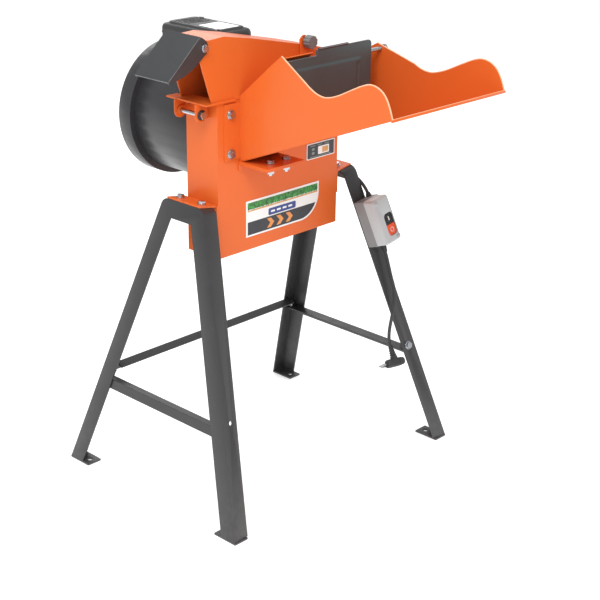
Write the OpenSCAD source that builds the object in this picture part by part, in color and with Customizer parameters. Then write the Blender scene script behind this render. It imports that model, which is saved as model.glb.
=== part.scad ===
// Electric forage and garden-waste chipper on an angle-iron stand.
// Millimetres, +Z up, origin on the floor at the centre of the four anchor holes.

/* [Stand] */
// height of the top rails above the floor
stand_h = 585; // [520:5:650]
// half spread of the feet along X, outer corner
foot_x = 315; // [270:1:340]
// half spread of the feet along Y, outer corner
foot_y = 246; // [210:1:270]
// half distance between the two top rails, outer face
rail_x = 210; // [198:1:218]
// half length of a top rail
rail_y = 54; // [50:1:62]
// leg angle-iron width
angle_w = 35; // [30:1:38]
// leg angle-iron thickness
angle_t = 3; // [2:0.5:4]
// crossbar and brace angle width
bar_w = 20; // [16:1:25]
// height of the crossbars above the floor, top edge
bar_z = 198; // [150:1:260]
// anchor hole radius in each foot plate
anchor_r = 5.5; // [4:0.5:7]
// foot plate thickness
foot_t = 4; // [3:0.5:6]

/* [Housing] */
// half width of the cutting housing
house_x = 164; // [150:1:170]
// front face of the housing along Y
house_front = -47; // [-52:1:-44]
// rear face of the housing along Y
house_back = 37; // [34:1:44]
// bottom edge of the housing
house_z0 = 474; // [460:1:500]
// top edge of the housing
house_z1 = 772; // [765:1:775]
// housing sheet thickness
sheet_t = 2.5; // [2:0.5:3]

/* [Rotor] */
// height of the rotor and motor axis
axis_z = 690; // [685:1:695]
// cutting disc radius
disc_r = 122; // [110:1:126]
// tip radius of the throwing paddles
paddle_r = 130; // [120:1:132]
// number of throwing paddles
paddle_n = 4; // [2:1:6]
// shaft radius
shaft_r = 10; // [9:0.5:12]

/* [Lid] */
// hinge axis along X
hinge_x = -184; // [-188:1:-182]
// hinge axis height
hinge_z = 752; // [748:1:754]
// highest point of the lid roof
roof_z = 892; // [885:1:896]
// deflector pivot along X
defl_x = -195; // [-197:1:-193]
// deflector pivot height
defl_z = 878; // [876:1:880]

/* [Feed tray] */
// near wall of the throat along X
throat_x0 = -108; // [-112:1:-104]
// far wall of the throat along X
throat_x1 = 163; // [155:1:164]
// height of the tray floor at the housing
tray_z0 = 655; // [650:1:660]
// height of the tray lip
lip_z = 808; // [780:1:820]
// lip distance along Y
lip_y = -428; // [-440:1:-400]
// outward flare of each side wall in degrees
flare = 3.3; // [0:0.1:5]
// tray sheet thickness
tray_t = 2; // [1.5:0.5:3]

/* [Motor] */
// motor shell radius
motor_r = 124; // [115:1:126]
// rear cover radius
rim_r = 136; // [130:1:140]
// front end of the motor shell along Y
motor_y0 = 44; // [42:1:48]
// start of the rear cover along Y
rim_y0 = 235; // [225:1:245]
// rear end of the motor along Y
rim_y1 = 269; // [260:1:285]

/* [Switch] */
// switch box length along the leg
box_l = 98; // [90:1:105]
// switch box width
box_w = 46; // [42:1:50]
// depth of the switch base
base_d = 26; // [22:1:30]
// depth of the switch cover
cover_d = 28; // [24:1:32]

/* [Hidden] */
eps = 0.01;
big = 900;
// colours
c_frame = [0.19, 0.19, 0.20];
c_orange = [0.90, 0.33, 0.10];
c_black = [0.10, 0.10, 0.11];
c_motor = [0.14, 0.14, 0.15];
c_zinc = [0.75, 0.76, 0.78];
c_steel = [0.55, 0.56, 0.58];
c_base = [0.40, 0.41, 0.42];
c_cover = [0.82, 0.83, 0.83];
c_red = [0.85, 0.20, 0.08];
c_label = [0.93, 0.94, 0.92];
c_copper = [0.72, 0.40, 0.20];
c_knob = [0.42, 0.44, 0.45];
// stand frame geometry: each side frame is one plane, leaning outward
lean = atan((foot_x - rail_x) / stand_h);
leg_h = stand_h / cos(lean);
splay = atan((foot_y - rail_y) / leg_h);
bend_r = 18;
bend_t = bend_r * tan((90 - splay) / 2);
rail_cut = 46;
// M8 fastener sizes
m8_r = 4;
m8_hole = 4.25;
m8_head = 7.4;
m8_flange = 8.8;
// bolt places
rail_bolt_x = 24;
rail_bolts = [-25, 33];
flange_bolts = [674, 748];
flange_bolt_x = -132;
shelf_bolts = [-76, -34];
shelf_bolt_y = -96;
shelf_z = 649.4;
shield_bolt_r = 104;
shield_bolt_a = [45, 135, 225, 315];
leg_hole_z = 212;
// hinge
ear_y0 = -26;
ear_y1 = 30;
ear_t = 2.5;
pin_r = 4;
run = 0.05;
// lid
lid_z = house_z1 + 0.4;
lid_y0 = house_front + 0.5;
lid_y1 = house_back - 0.5;
knob_x = 63;
knob_z = 857;
// tray
floor_a = atan((lip_z - tray_z0) / (house_front - lip_y));
neck_y = -78;
hood_y = -152;
hood_z = 864;
hood_a = atan((hood_z - 777) / (house_front - hood_y));
hood_cut = -26;
rod_y = -150;
rod_z = 844;
flap_y = rod_y - 8.5;
flap_x0 = -101;
flap_x1 = 128;
flap_z0 = 716;
flap_z1 = 868;
// rotor stations along Y
disc_y = -14;
disc_t = 8;
// switch box frame on the front-right leg
sw_z = 474;
sw_x = 12;
btn_gap = 0.4;
// cord
cord_r = 3.5;

// ---------- helpers ----------
module along_y(y0, y1, r, f = 64) {
  translate([0, y1, 0]) rotate([90, 0, 0]) cylinder(h = y1 - y0, r = r, $fn = f);
}
module along_x(x0, x1, r, f = 48) {
  translate([x0, 0, 0]) rotate([0, 90, 0]) cylinder(h = x1 - x0, r = r, $fn = f);
}
// bolt with its head above z = 0 and its shank below
module bolt(shank) {
  cylinder(h = 1.4, r = m8_flange, $fn = 32);
  cylinder(h = 6, r = m8_head, $fn = 6);
  translate([0, 0, -shank]) cylinder(h = shank + eps, r = m8_r, $fn = 32);
}
module nut() {
  difference() {
    union() {
      cylinder(h = 1.4, r = m8_flange, $fn = 32);
      cylinder(h = 7, r = m8_head, $fn = 6);
    }
    translate([0, 0, -1]) cylinder(h = 9, r = m8_r + 0.02, $fn = 32);
  }
}
module bolt_nut(grip) {
  bolt(grip + 9);
  translate([0, 0, -grip]) mirror([0, 0, 1]) nut();
}
module rounded_box(x, y, z, r) {
  linear_extrude(z) rounded_rect(x, y, r);
}
module rounded_rect(x, y, r) {
  square([x - 2 * r, y], center = true);
  square([x, y - 2 * r], center = true);
  for (sx = [-1, 1], sy = [-1, 1])
    translate([sx * (x / 2 - r), sy * (y / 2 - r)]) circle(r = r, $fn = 32);
}
module xz_plate(y0, t) {
  translate([0, y0 + t, 0]) rotate([90, 0, 0]) linear_extrude(t) children();
}
module yz_plate(x0, t) {
  translate([x0, 0, 0]) rotate([90, 0, 90]) linear_extrude(t) children();
}

// ---------- stand ----------
// outline of one side frame in its own plane: first axis Y, second axis down the frame
module frame_outline(inset) {
  n = [cos(splay), sin(splay)];
  for (s = [-1, 1])
    translate([s * (rail_y - bend_t), -bend_r]) circle(r = bend_r - inset, $fn = 64);
  foot_in = foot_y - inset / cos(splay);
  polygon([
    [-foot_in, -leg_h],
    [-(rail_y - bend_t) - n[0] * (bend_r - inset), -bend_r + n[1] * (bend_r - inset)],
    [-(rail_y - bend_t), -inset],
    [rail_y - bend_t, -inset],
    [(rail_y - bend_t) + n[0] * (bend_r - inset), -bend_r + n[1] * (bend_r - inset)],
    [foot_in, -leg_h]]);
}
module frame_window() {
  top = -angle_w;
  foot_in = foot_y - angle_w / cos(splay);
  slope = tan(splay);
  polygon([
    [-foot_in, -leg_h - 1],
    [-foot_in + (leg_h - angle_w) * slope, top],
    [foot_in - (leg_h - angle_w) * slope, top],
    [foot_in, -leg_h - 1]]);
}
module frame_solid() {
  rotate([90, 0, 90]) linear_extrude(angle_t) difference() {
    frame_outline(0);
    frame_window();
  }
  rotate([90, 0, 90]) linear_extrude(angle_w) difference() {
    frame_outline(0);
    frame_outline(angle_t);
    translate([-foot_y, -leg_h - 2]) square([2 * foot_y, 3]);
  }
}
// local frame plane to the machine, left side
module frame_place() {
  translate([-rail_x, 0, stand_h]) rotate([0, lean, 0]) children();
}
module above_floor() {
  difference() {
    children();
    translate([-big / 2, -big / 2, foot_t - big]) cube([big, big, big]);
  }
}
module leg_holes() {
  // brace and spare hole through the front and rear flanges
  d = (stand_h - leg_hole_z) / cos(lean);
  for (s = [-1, 1])
    translate([angle_w / 2 + 2, s * (rail_y + d * tan(splay)), -d])
      rotate([s * splay, 0, 0]) rotate([90, 0, 0])
        cylinder(h = 30, r = m8_hole, center = true, $fn = 32);
}
module leg(side) {
  above_floor() frame_place() difference() {
    intersection() {
      frame_solid();
      translate([-5, side > 0 ? 0 : -big, -big]) cube([60, big, big - rail_cut]);
    }
    leg_holes();
  }
}
module top_rail() {
  frame_place() difference() {
    intersection() {
      frame_solid();
      translate([-5, -big / 2, -rail_cut + 0.05]) cube([60, big, 60]);
    }
    for (y = rail_bolts) translate([rail_bolt_x, y, -8]) cylinder(h = 16, r = m8_hole, $fn = 32);
  }
}
// crossbar between the front and rear leg, inside the outer plates
module crossbar() {
  d0 = (stand_h - bar_z) / cos(lean);
  inner = rail_y + d0 * tan(splay) - angle_t / cos(splay) - 0.3;
  reach = inner - 0.2;
  frame_place() translate([angle_t + 0.05, 0, -d0]) difference() {
    union() {
      translate([0, -reach, -bar_w]) cube([angle_t, 2 * reach, bar_w]);
      translate([0, -reach, -angle_t]) cube([bar_w, 2 * reach, angle_t]);
    }
  }
}
module left_front_leg() color(c_frame) leg(-1);
module left_rear_leg() color(c_frame) leg(1);
module left_top_rail() color(c_frame) top_rail();
module left_crossbar() color(c_frame) crossbar();
module right_front_leg() color(c_frame) mirror([1, 0, 0]) leg(-1);
module right_rear_leg() color(c_frame) mirror([1, 0, 0]) leg(1);
module right_top_rail() color(c_frame) mirror([1, 0, 0]) top_rail();
module right_crossbar() color(c_frame) mirror([1, 0, 0]) crossbar();

// place of a flange hole on the outside of the frame, left side, side = -1 front, 1 rear
module at_leg_hole(side) {
  d = (stand_h - leg_hole_z) / cos(lean);
  frame_place() translate([angle_w / 2 + 2, side * (rail_y + d * tan(splay)), -d])
    rotate([side * splay, 0, 0]) children();
}
brace_half = 249;
module brace_end_cut() {
  at_leg_hole(1) translate([0, -angle_t - 2, 0]) rotate([90, 0, 0])
    cylinder(h = 20, r = m8_hole, center = true, $fn = 32);
}
module rear_brace() color(c_frame) {
  // flat angle behind the rear flanges' inner faces, one bolt at each end
  d = (stand_h - leg_hole_z) / cos(lean);
  y1 = rail_y + d * tan(splay) - angle_t / cos(splay);
  difference() {
    translate([0, y1, leg_hole_z]) rotate([splay, 0, 0]) union() {
      translate([-brace_half, -angle_t - 2.6, -bar_w / 2]) cube([2 * brace_half, angle_t, bar_w]);
      translate([-brace_half, -bar_w - 2.6, bar_w / 2 - angle_t])
        cube([2 * brace_half, bar_w, angle_t]);
    }
    brace_end_cut();
    mirror([1, 0, 0]) brace_end_cut();
  }
}
module foot_plate() {
  difference() {
    translate([-foot_x + 0.5, -foot_y, 0]) cube([33, 57, foot_t]);
    translate([-foot_x + 17, -foot_y + 42, -1]) cylinder(h = foot_t + 2, r = anchor_r, $fn = 48);
  }
}
module foot_plates() color(c_frame) {
  for (mx = [0, 1], my = [0, 1]) mirror([mx, 0, 0]) mirror([0, my, 0]) foot_plate();
}
module stand_bolts() color(c_zinc) {
  for (mx = [0, 1]) mirror([mx, 0, 0]) {
    frame_place() for (y = rail_bolts)
      translate([rail_bolt_x, y, angle_t + 0.05]) bolt_nut(2 * angle_t + 0.1);
    at_leg_hole(1) rotate([-90, 0, 0]) bolt_nut(2 * angle_t + 2.2);
  }
  mirror([1, 0, 0]) at_leg_hole(-1) rotate([90, 0, 0]) bolt_nut(angle_t + 0.05);
}
// orange support bracket, left: a leaning flange on the rail and a web on the housing
module bracket() {
  difference() {
    union() {
      frame_place() translate([1, -45, 0.05]) cube([46, 90, angle_t]);
      translate([-house_x - angle_t - 0.1, house_front, 536])
        cube([angle_t, house_back - house_front, 44]);
    }
    frame_place() for (y = rail_bolts)
      translate([rail_bolt_x, y, -4]) cylinder(h = 12, r = m8_hole, $fn = 32);
    translate([-house_x - 0.1, -60, 500]) cube([20, 120, 120]);
  }
}
module left_bracket() color(c_orange) bracket();
module right_bracket() color(c_orange) mirror([1, 0, 0]) bracket();

// ---------- housing ----------
module hinge_lug() {
  // fixed lug beside a lid ear, round the pin
  difference() {
    union() {
      translate([0, 0, 0]) circle(r = 9, $fn = 48);
      translate([0, -9]) square([-hinge_x - house_x + 0.5, 18]);
    }
    circle(r = pin_r + 0.01, $fn = 48);
  }
}
module housing_shell() color(c_orange) {
  dy = house_back - house_front;
  h = house_z1 - house_z0;
  difference() {
    translate([-house_x, house_front, house_z0]) cube([2 * house_x, dy, h]);
    translate([-house_x + sheet_t, house_front + sheet_t, house_z0 - 1])
      cube([2 * house_x - 2 * sheet_t, dy - 2 * sheet_t, h + 2]);
    // throat opening in the front plate
    translate([throat_x0 + 8, house_front - 1, tray_z0 + 12])
      cube([throat_x1 - throat_x0 - 16, sheet_t + 2, house_z1 - tray_z0 - 26]);
    // shaft opening and motor bolts in the rear plate
    translate([0, 0, axis_z]) along_y(house_back - sheet_t - 1, house_back + 1, 44);
    for (a = shield_bolt_a)
      translate([shield_bolt_r * cos(a), 0, axis_z + shield_bolt_r * sin(a)])
        along_y(house_back - sheet_t - 1, house_back + 1, m8_hole, 32);
    // tray flange bolts, shelf bolts and counter-knife bolts
    for (z = flange_bolts) translate([flange_bolt_x, 0, z])
      along_y(house_front - 1, house_front + sheet_t + 1, m8_hole, 32);
  }
  for (y = [ear_y0 + ear_t + 0.4, ear_y1 - 3.4])
    translate([hinge_x, 0, hinge_z]) xz_plate(y, 3) hinge_lug();
}
module hinge_pin() color(c_zinc) {
  translate([hinge_x, 0, hinge_z]) {
    along_y(ear_y0 - 4, ear_y1 + 13, pin_r, 48);
    translate([0, ear_y0 - 2, 0]) rotate([90, 0, 0]) {
      cylinder(h = 6, r = m8_head, $fn = 6);
    }
    translate([0, ear_y1 + ear_t + 0.5, 0]) rotate([-90, 0, 0]) difference() {
      cylinder(h = 7, r = m8_head, $fn = 6);
      translate([0, 0, -1]) cylinder(h = 9, r = pin_r - 0.5, $fn = 32);
    }
  }
}
module hinge_washers() color(c_black) {
  translate([hinge_x, 0, hinge_z]) difference() {
    along_y(ear_y0 - 1.9, ear_y0 - 0.4, 9.5, 48);
    along_y(ear_y0 - 3, ear_y0 + 1, pin_r + 0.05, 48);
  }
}
module scroll_sieve() color(c_steel) {
  // half-round sieve under the rotor with rows of round holes
  y0 = house_front + sheet_t + 1.5;
  y1 = house_back - sheet_t - 1.5;
  translate([0, 0, axis_z]) difference() {
    along_y(y0, y1, 143, 128);
    along_y(y0 - 1, y1 + 1, 141, 128);
    translate([-200, y0 - 1, -8]) cube([400, y1 - y0 + 2, 200]);
    for (a = [200 : 14 : 340], y = [-27, -5, 17])
      translate([0, y, 0]) rotate([0, -a, 0]) translate([130, 0, 0])
        rotate([0, 90, 0]) cylinder(h = 20, r = 6, $fn = 24);
  }
  for (s = [-1, 1]) translate([s * 150, (y0 + y1) / 2, axis_z - 10])
    cube([18, y1 - y0, 3.9], center = true);
}
module counter_knife() color(c_steel) {
  // fixed shear bar along the lower edge of the throat, inside the front plate
  translate([throat_x0 + 10, house_front + sheet_t + 0.2, tray_z0 - 4])
    cube([132 - throat_x0 - 10, 9, 20]);
}

// ---------- feed tray ----------
function blend(a, b, c, d, t) = 0.5 * (2 * b + t * (c - a) + t * t * (2 * a - 5 * b + 4 * c - d)
  + t * t * t * (3 * b - a - 3 * c + d));
// smooth run through hand-set points, straight at both ends
function smooth(P, n) = [for (i = [0 : len(P) - 2], k = [0 : n - 1])
  blend(P[max(i - 1, 0)], P[i], P[i + 1], P[min(i + 2, len(P) - 1)], k / n)];
wall_top = [[-229, 827], [-244, 820], [-259, 816.5], [-275, 817], [-300, 825], [-335, 842],
  [-358, 852.5], [-376, 857.5], [-393, 855], [-408, 846], [-419, 830], [lip_y, lip_z]];
module wall_profile(peak, knee) {
  difference() {
    polygon(concat([
      [house_front - 0.1, tray_z0], [house_front - 0.1, 778.5],
      [knee[0], knee[1]], [peak[0], peak[1]]],
      smooth(wall_top, 5), [[lip_y, lip_z], [lip_y + 1, lip_z - 3]]));
    // below the floor line
    polygon([[house_front + 5, tray_z0 - 2.0 - 5 * tan(floor_a)], [house_front + 5, 500],
      [lip_y - 40, 500], [lip_y - 40, lip_z + 40 * tan(floor_a) - 2.0]]);
  }
}
// bent side wall: the plan of the sheet crossed with its side view
module side_wall(x, dir, peak, knee) {
  run_out = (neck_y - lip_y) * tan(flare);
  intersection() {
    translate([x, 0, 600]) mirror([dir < 0 ? 1 : 0, 0, 0]) linear_extrude(320) polygon([
      [0, house_front - 0.1], [0, neck_y], [-run_out, lip_y],
      [-run_out + tray_t, lip_y], [tray_t, neck_y], [tray_t, house_front - 0.1]]);
    rotate([90, 0, 90]) linear_extrude(600, center = true) wall_profile(peak, knee);
  }
}
fl = tan(flare);
module feed_tray() color(c_orange) {
  near_peak = [-158, 869.5];
  far_peak = [-142, 854];
  knee = [-128, 846];
  difference() {
    union() {
      // side walls
      side_wall(throat_x0, 1, near_peak, [-130, 847.6]);
      side_wall(throat_x1, -1, far_peak, knee);
      // sloping floor with a hemmed lip
      s_end = (house_front - lip_y) / cos(floor_a);
      s_neck = (house_front - neck_y) / cos(floor_a);
      out = (neck_y - lip_y) * fl;
      translate([0, house_front - 0.1, tray_z0]) rotate([-floor_a, 0, 0])
        translate([0, 0, -tray_t]) linear_extrude(tray_t) polygon([
          [throat_x0 + 1, 0], [throat_x0 + 1, -s_neck], [throat_x0 + 1 - out, -s_end],
          [throat_x1 - 1 + out, -s_end], [throat_x1 - 1, -s_neck], [throat_x1 - 1, 0]]);
      translate([0, lip_y, lip_z - 2.4]) along_x(throat_x0 - out - 0.6, throat_x1 + out + 0.6, 2.6);
      // hood plate above the throat, cut back on the right where the flap shows
      h_end = (house_front - hood_y) / cos(hood_a);
      h_cut = (house_front + 128) / cos(hood_a);
      h_neck = (house_front - neck_y) / cos(hood_a);
      translate([0, house_front - 0.1, 777]) rotate([-hood_a, 0, 0])
        translate([0, 0, -tray_t]) linear_extrude(tray_t) polygon([
          [throat_x0 + 1, 0], [throat_x0 + 1, -h_neck], [throat_x0 + 1 + (hood_y - neck_y) * fl, -h_end],
          [hood_cut, -h_end], [hood_cut, -h_cut],
          [throat_x1 - 1 + (128 + neck_y) * fl, -h_cut], [throat_x1 - 1, -h_neck], [throat_x1 - 1, 0]]);
      // mounting flange on the left of the throat
      translate([throat_x0 - 40, house_front - 2.6, 662]) cube([40.5, 2.5, 106]);
      // bolted tab under the floor
      translate([-112, -125, shelf_z + 3.05]) cube([98, 77.9, 3]);
      // slotted latch tab in front of the lid
      translate([knob_x - 14, house_front - 5.2, 776]) cube([28, 3, knob_z + 8 - 776]);
    }
    for (z = flange_bolts) translate([flange_bolt_x, 0, z])
      along_y(house_front - 6, house_front + 1, m8_hole, 32);
    for (x = shelf_bolts) translate([x, shelf_bolt_y, shelf_z]) cylinder(h = 8, r = m8_hole, $fn = 32);
    // slanted open slot that lets the lid stud lift out
    translate([knob_x, 0, knob_z]) xz_plate(house_front - 8, 8) {
      circle(r = 5.2, $fn = 48);
      polygon([[5.2, 0], [-5.2, 0], [-14, 20], [4, 20]]);
    }
    // rod holes
    translate([0, rod_y, rod_z]) along_x(-111.2, 190, pin_r + 0.01);
    // room for the shelf tab above the rotor plate
    translate([-big / 2, house_front - 0.05, 500]) cube([big, 60, 500]);
  }
}
module tray_bolts() color(c_zinc) {
  for (z = flange_bolts) translate([flange_bolt_x, house_front - 2.65, z])
    rotate([90, 0, 0]) bolt_nut(2.65 + sheet_t + 0.05);
  for (x = shelf_bolts) translate([x, shelf_bolt_y, shelf_z + 6.1]) {
    bolt_nut(6.15);
    // lock nut and the long threaded end below it
    translate([0, 0, -6.15 - 7.1]) mirror([0, 0, 1]) nut();
    translate([0, 0, -6.15 - 18]) cylinder(h = 10, r = m8_r, $fn = 32);
  }
}
module tray_shelf() color(c_orange) {
  // bracket plate welded to the front of the housing, carries the tray tab
  difference() {
    union() {
      translate([-112, -125, shelf_z]) cube([98, -house_front * -1 + 125 - 0.1, 3]);
      translate([-112, house_front - 3.1, shelf_z - 12]) cube([98, 3, 13]);
    }
    for (x = shelf_bolts)
      translate([x, shelf_bolt_y, shelf_z - 2]) cylinder(h = 8, r = m8_hole, $fn = 32);
  }
}
module flap_rod() color(c_zinc) {
  translate([0, rod_y, rod_z]) {
    along_x(-111.1, 177, pin_r, 48);
    along_x(173.5, 178.5, 7, 48);
  }
}

// ---------- motor ----------
module motor_front_shield() color(c_motor) {
  translate([0, 0, axis_z]) difference() {
    union() {
      along_y(house_back + 0.1, motor_y0 + 4, 118, 128);
      along_y(motor_y0 + 3, motor_y0 + 24, 34, 64);
    }
    along_y(house_back - 1, motor_y0 + 30, 16, 64);
    along_y(motor_y0 + 8, motor_y0 + 30, 26, 64);
    for (a = shield_bolt_a) translate([shield_bolt_r * cos(a), 0, shield_bolt_r * sin(a)])
      along_y(house_back - 1, motor_y0 + 10, m8_hole, 32);
  }
}
module motor_shell() color(c_motor) {
  translate([0, 0, axis_z]) difference() {
    along_y(motor_y0 + 4.1, rim_y0, motor_r, 128);
    along_y(motor_y0 + 7.1, rim_y0 + 1, motor_r - 3, 128);
    along_y(motor_y0 + 3, motor_y0 + 9, 96, 128);
    for (a = shield_bolt_a) translate([shield_bolt_r * cos(a), 0, shield_bolt_r * sin(a)])
      along_y(motor_y0 + 3, motor_y0 + 9, 10, 32);
    // cable hole under the terminal box
    translate([-20, 120, motor_r - 10]) cylinder(h = 20, r = 8, $fn = 32);
  }
}
module motor_rear_cover() color(c_motor) {
  translate([0, 0, axis_z]) difference() {
    union() {
      along_y(rim_y0 + 0.1, rim_y1, rim_r, 128);
      along_y(rim_y0 - 20, rim_y0 + 1, 34, 64);
    }
    difference() {
      along_y(rim_y0 + 3.1, rim_y1 - 3, rim_r - 3, 128);
      along_y(rim_y0 + 3, rim_y0 + 8, 40, 64);
    }
    // ring of cooling slots in the back
    for (a = [0 : 20 : 340]) rotate([0, a, 0]) translate([84, 0, 0]) {
      translate([-16, rim_y1 - 5, -3]) cube([32, 8, 6]);
      translate([-16, rim_y1 + 3, 0]) rotate([90, 0, 0]) cylinder(h = 8, r = 3, $fn = 24);
      translate([16, rim_y1 + 3, 0]) rotate([90, 0, 0]) cylinder(h = 8, r = 3, $fn = 24);
    }
    // air passages from the fan into the shell
    for (a = [30 : 60 : 330]) rotate([0, a, 0]) translate([78, 0, 0])
      along_y(rim_y0 - 1, rim_y0 + 4, 14, 32);
    // bearing seat and shaft opening
    along_y(rim_y0 - 21, rim_y0 - 4, 26, 64);
    along_y(rim_y0 - 21, rim_y0 + 9, 14, 64);
  }
}
module stator() color(c_copper) {
  translate([0, 0, axis_z]) difference() {
    union() {
      along_y(motor_y0 + 60, motor_y0 + 140, motor_r - 3.1, 128);
      along_y(motor_y0 + 44, motor_y0 + 156, 96, 96);
    }
    along_y(motor_y0 + 40, motor_y0 + 160, 62, 96);
  }
}
module bearings() color(c_steel) {
  translate([0, 0, axis_z]) for (y = [motor_y0 + 9, rim_y0 - 19]) difference() {
    along_y(y, y + 14, 25.9, 64);
    along_y(y - 1, y + 15, shaft_r + run, 64);
  }
}
module motor_bolts() color(c_zinc) {
  for (a = shield_bolt_a)
    translate([shield_bolt_r * cos(a), motor_y0 + 4.05, axis_z + shield_bolt_r * sin(a)])
      rotate([-90, 0, 0]) {
        cylinder(h = 1.4, r = 8.4, $fn = 32);
        cylinder(h = 6, r = m8_head, $fn = 6);
        translate([0, 0, -7.6]) cylinder(h = 8, r = m8_r, $fn = 32);
      }
}
tb_x0 = -74;
tb_x1 = 24;
tb_y0 = 48;
tb_y1 = 214;
tb_z1 = 877;
module terminal_box() color(c_motor) {
  x = (tb_x0 + tb_x1) / 2;
  y = (tb_y0 + tb_y1) / 2;
  w = tb_x1 - tb_x0;
  d = tb_y1 - tb_y0;
  difference() {
    union() {
      translate([x, y, axis_z + 90]) rounded_box(w, d, tb_z1 - axis_z - 94, 16);
      translate([x, y - 9, tb_z1 - 4.5]) rounded_box(w - 5, d - 24, 4.5, 13);
    }
    translate([x, y, axis_z + 80]) rounded_box(w - 7, d - 7, tb_z1 - axis_z - 84, 13);
    translate([0, tb_y0 - 10, axis_z]) rotate([-90, 0, 0])
      cylinder(h = d + 20, r = motor_r + 0.1, $fn = 128);
    // lead outlet on the right side
    translate([tb_x1 - 8, lead_y, lead_z]) along_x(0, 20, 6.2);
    for (s = [-1, 1]) translate([x + s * (w / 2 - 16), y - 9 + s * (d / 2 - 26), tb_z1 - 8])
      cylinder(h = 12, r = 2.6, $fn = 24);
  }
}
module terminal_screws() color(c_zinc) {
  x = (tb_x0 + tb_x1) / 2;
  y = (tb_y0 + tb_y1) / 2;
  for (s = [-1, 1])
    translate([x + s * ((tb_x1 - tb_x0) / 2 - 16), y - 9 + s * ((tb_y1 - tb_y0) / 2 - 26), tb_z1 + 0.05])
      difference() {
        union() {
          cylinder(h = 2.4, r = 5, $fn = 32);
          translate([0, 0, -8]) cylinder(h = 9, r = 2.4, $fn = 24);
        }
        translate([-5, -0.6, 1.4]) cube([10, 1.2, 2]);
      }
}
module capacitor() color(c_black) {
  translate([-22, 0, 848]) along_y(68, 150, 17, 48);
}

// ---------- cords ----------
function unit(v) = v / norm(v);
function bez(p, t) = let (u = 1 - t)
  u * u * u * p[0] + 3 * u * u * t * p[1] + 3 * u * t * t * p[2] + t * t * t * p[3];
function tang(P, i) = unit(P[min(i + 1, len(P) - 1)] - P[max(i - 1, 0)]);
module tube(P, r, ref, k = 10) {
  n = len(P);
  pts = [for (i = [0 : n - 1]) let (t = tang(P, i), a = unit(cross(t, ref)), b = cross(t, a))
    for (j = [0 : k - 1]) P[i] + r * (cos(360 * j / k) * a + sin(360 * j / k) * b)];
  side = [for (i = [0 : n - 2], j = [0 : k - 1])
    [i * k + j, i * k + (j + 1) % k, (i + 1) * k + (j + 1) % k, (i + 1) * k + j]];
  polyhedron(points = pts, convexity = 6, faces = concat([[for (j = [k - 1 : -1 : 0]) j]],
    side, [[for (j = [0 : k - 1]) (n - 1) * k + j]]));
}
// switch box frame: origin on the front flange face of the right front leg
module at_switch() {
  mirror([1, 0, 0]) frame_place()
    translate([0, -rail_y, 0]) rotate([-splay, 0, 0]) translate([0, -0.1, 0])
      translate([sw_x, 0, -(stand_h - sw_z) / cos(lean) / cos(splay)]) children();
}
// points of the same frame, worked out by hand rotation
function sw_pt(p) =
  let (q = [p[0] + sw_x, p[1] - 0.1, p[2] - (stand_h - sw_z) / cos(lean) / cos(splay)],
       a = [q[0], q[1] * cos(splay) + q[2] * sin(splay) - rail_y,
            -q[1] * sin(splay) + q[2] * cos(splay)],
       b = [a[0] * cos(lean) + a[2] * sin(lean) - rail_x, a[1],
            -a[0] * sin(lean) + a[2] * cos(lean) + stand_h])
  [-b[0], b[1], b[2]];
gland_top = sw_pt([-16, -7, box_l / 2 + 2]);
gland_low = sw_pt([-5, -13, -box_l / 2 - 4]);
lead_y = 172;
lead_z = 846;
lead_a = [tb_x1 + 9, lead_y, lead_z];
lead_route = [
  [lead_a, lead_a + [32, 0, 0], [92, 168, 828], [108, 160, 772]],
  [[108, 160, 772], [129, 152, 722], [137, 120, 670], [150, 90, 640]],
  [[150, 90, 640], [161, 71, 619], [221, 94, 598], [221.5, 62, 577]],
  [[221.5, 62, 577], [221.8, 48, 568], [219, 8, 566], [219, -30, 563]],
  [[219, -30, 563], [219, -47, 561], sw_pt([-16.6, -5.5, box_l / 2 + 30]), gland_top]];
module motor_lead() color(c_black) {
  P = concat([for (s = lead_route, i = [0 : 9]) bez(s, i / 10)], [gland_top]);
  tube(P, cord_r, [0.3, 1, 0.2]);
}
module lead_glands() color(c_black) {
  translate([tb_x1 + 0.1, lead_y, lead_z]) difference() {
    union() {
      along_x(0, 4, 10, 6);
      along_x(3.9, 12, 8, 32);
      along_x(-6, 0.1, 5.9, 32);
    }
    along_x(-8, 11.5, 3.9, 32);
  }
  at_switch() translate([-16, -7, box_l / 2 + 0.1]) difference() {
    union() {
      cylinder(h = 2.5, r = 6, $fn = 32);
      translate([0, 0, 2.4]) cylinder(h = 5, r1 = 5.6, r2 = 4.6, $fn = 32);
    }
    translate([0, 0, -1]) cylinder(h = 10, r = 3.7, $fn = 32);
  }
}
module lead_clips() color(c_black) {
  // one clip on the motor shell, one on the outside of the right top rail
  p = bez(lead_route[1], 0.3);
  translate(p) difference() {
    translate([-9, -6, -6]) cube([14.5, 12, 12]);
    translate([-p[0], 0, axis_z - p[2]]) along_y(-20, 20, motor_r + 0.05, 128);
    rotate([14, 16, 0]) cylinder(h = 30, r = cord_r + 0.1, center = true, $fn = 32);
  }
  q = bez(lead_route[3], 0.6);
  difference() {
    translate([q[0] - 7, q[1] - 6, q[2] - 6]) cube([12.5, 12, 12]);
    mirror([1, 0, 0]) frame_place() translate([0.1 - 0.15, -big / 2, -big / 2]) cube([60, big, big]);
    translate([q[0], 0, q[2]]) along_y(q[1] - 9, q[1] + 9, cord_r + 0.1, 32);
  }
}
module cord_gland() color(c_black) {
  at_switch() translate([-5, -13, -box_l / 2 - 0.1]) mirror([0, 0, 1]) difference() {
    union() {
      cylinder(h = 4, r = 8.5, $fn = 32);
      translate([0, 0, 3.9]) cylinder(h = 18, r1 = 6.4, r2 = 4.6, $fn = 32);
    }
    translate([0, 0, -1]) cylinder(h = 24, r = 3.75, $fn = 32);
  }
}
plug_at = [221.7, -169.4, 188];
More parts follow.
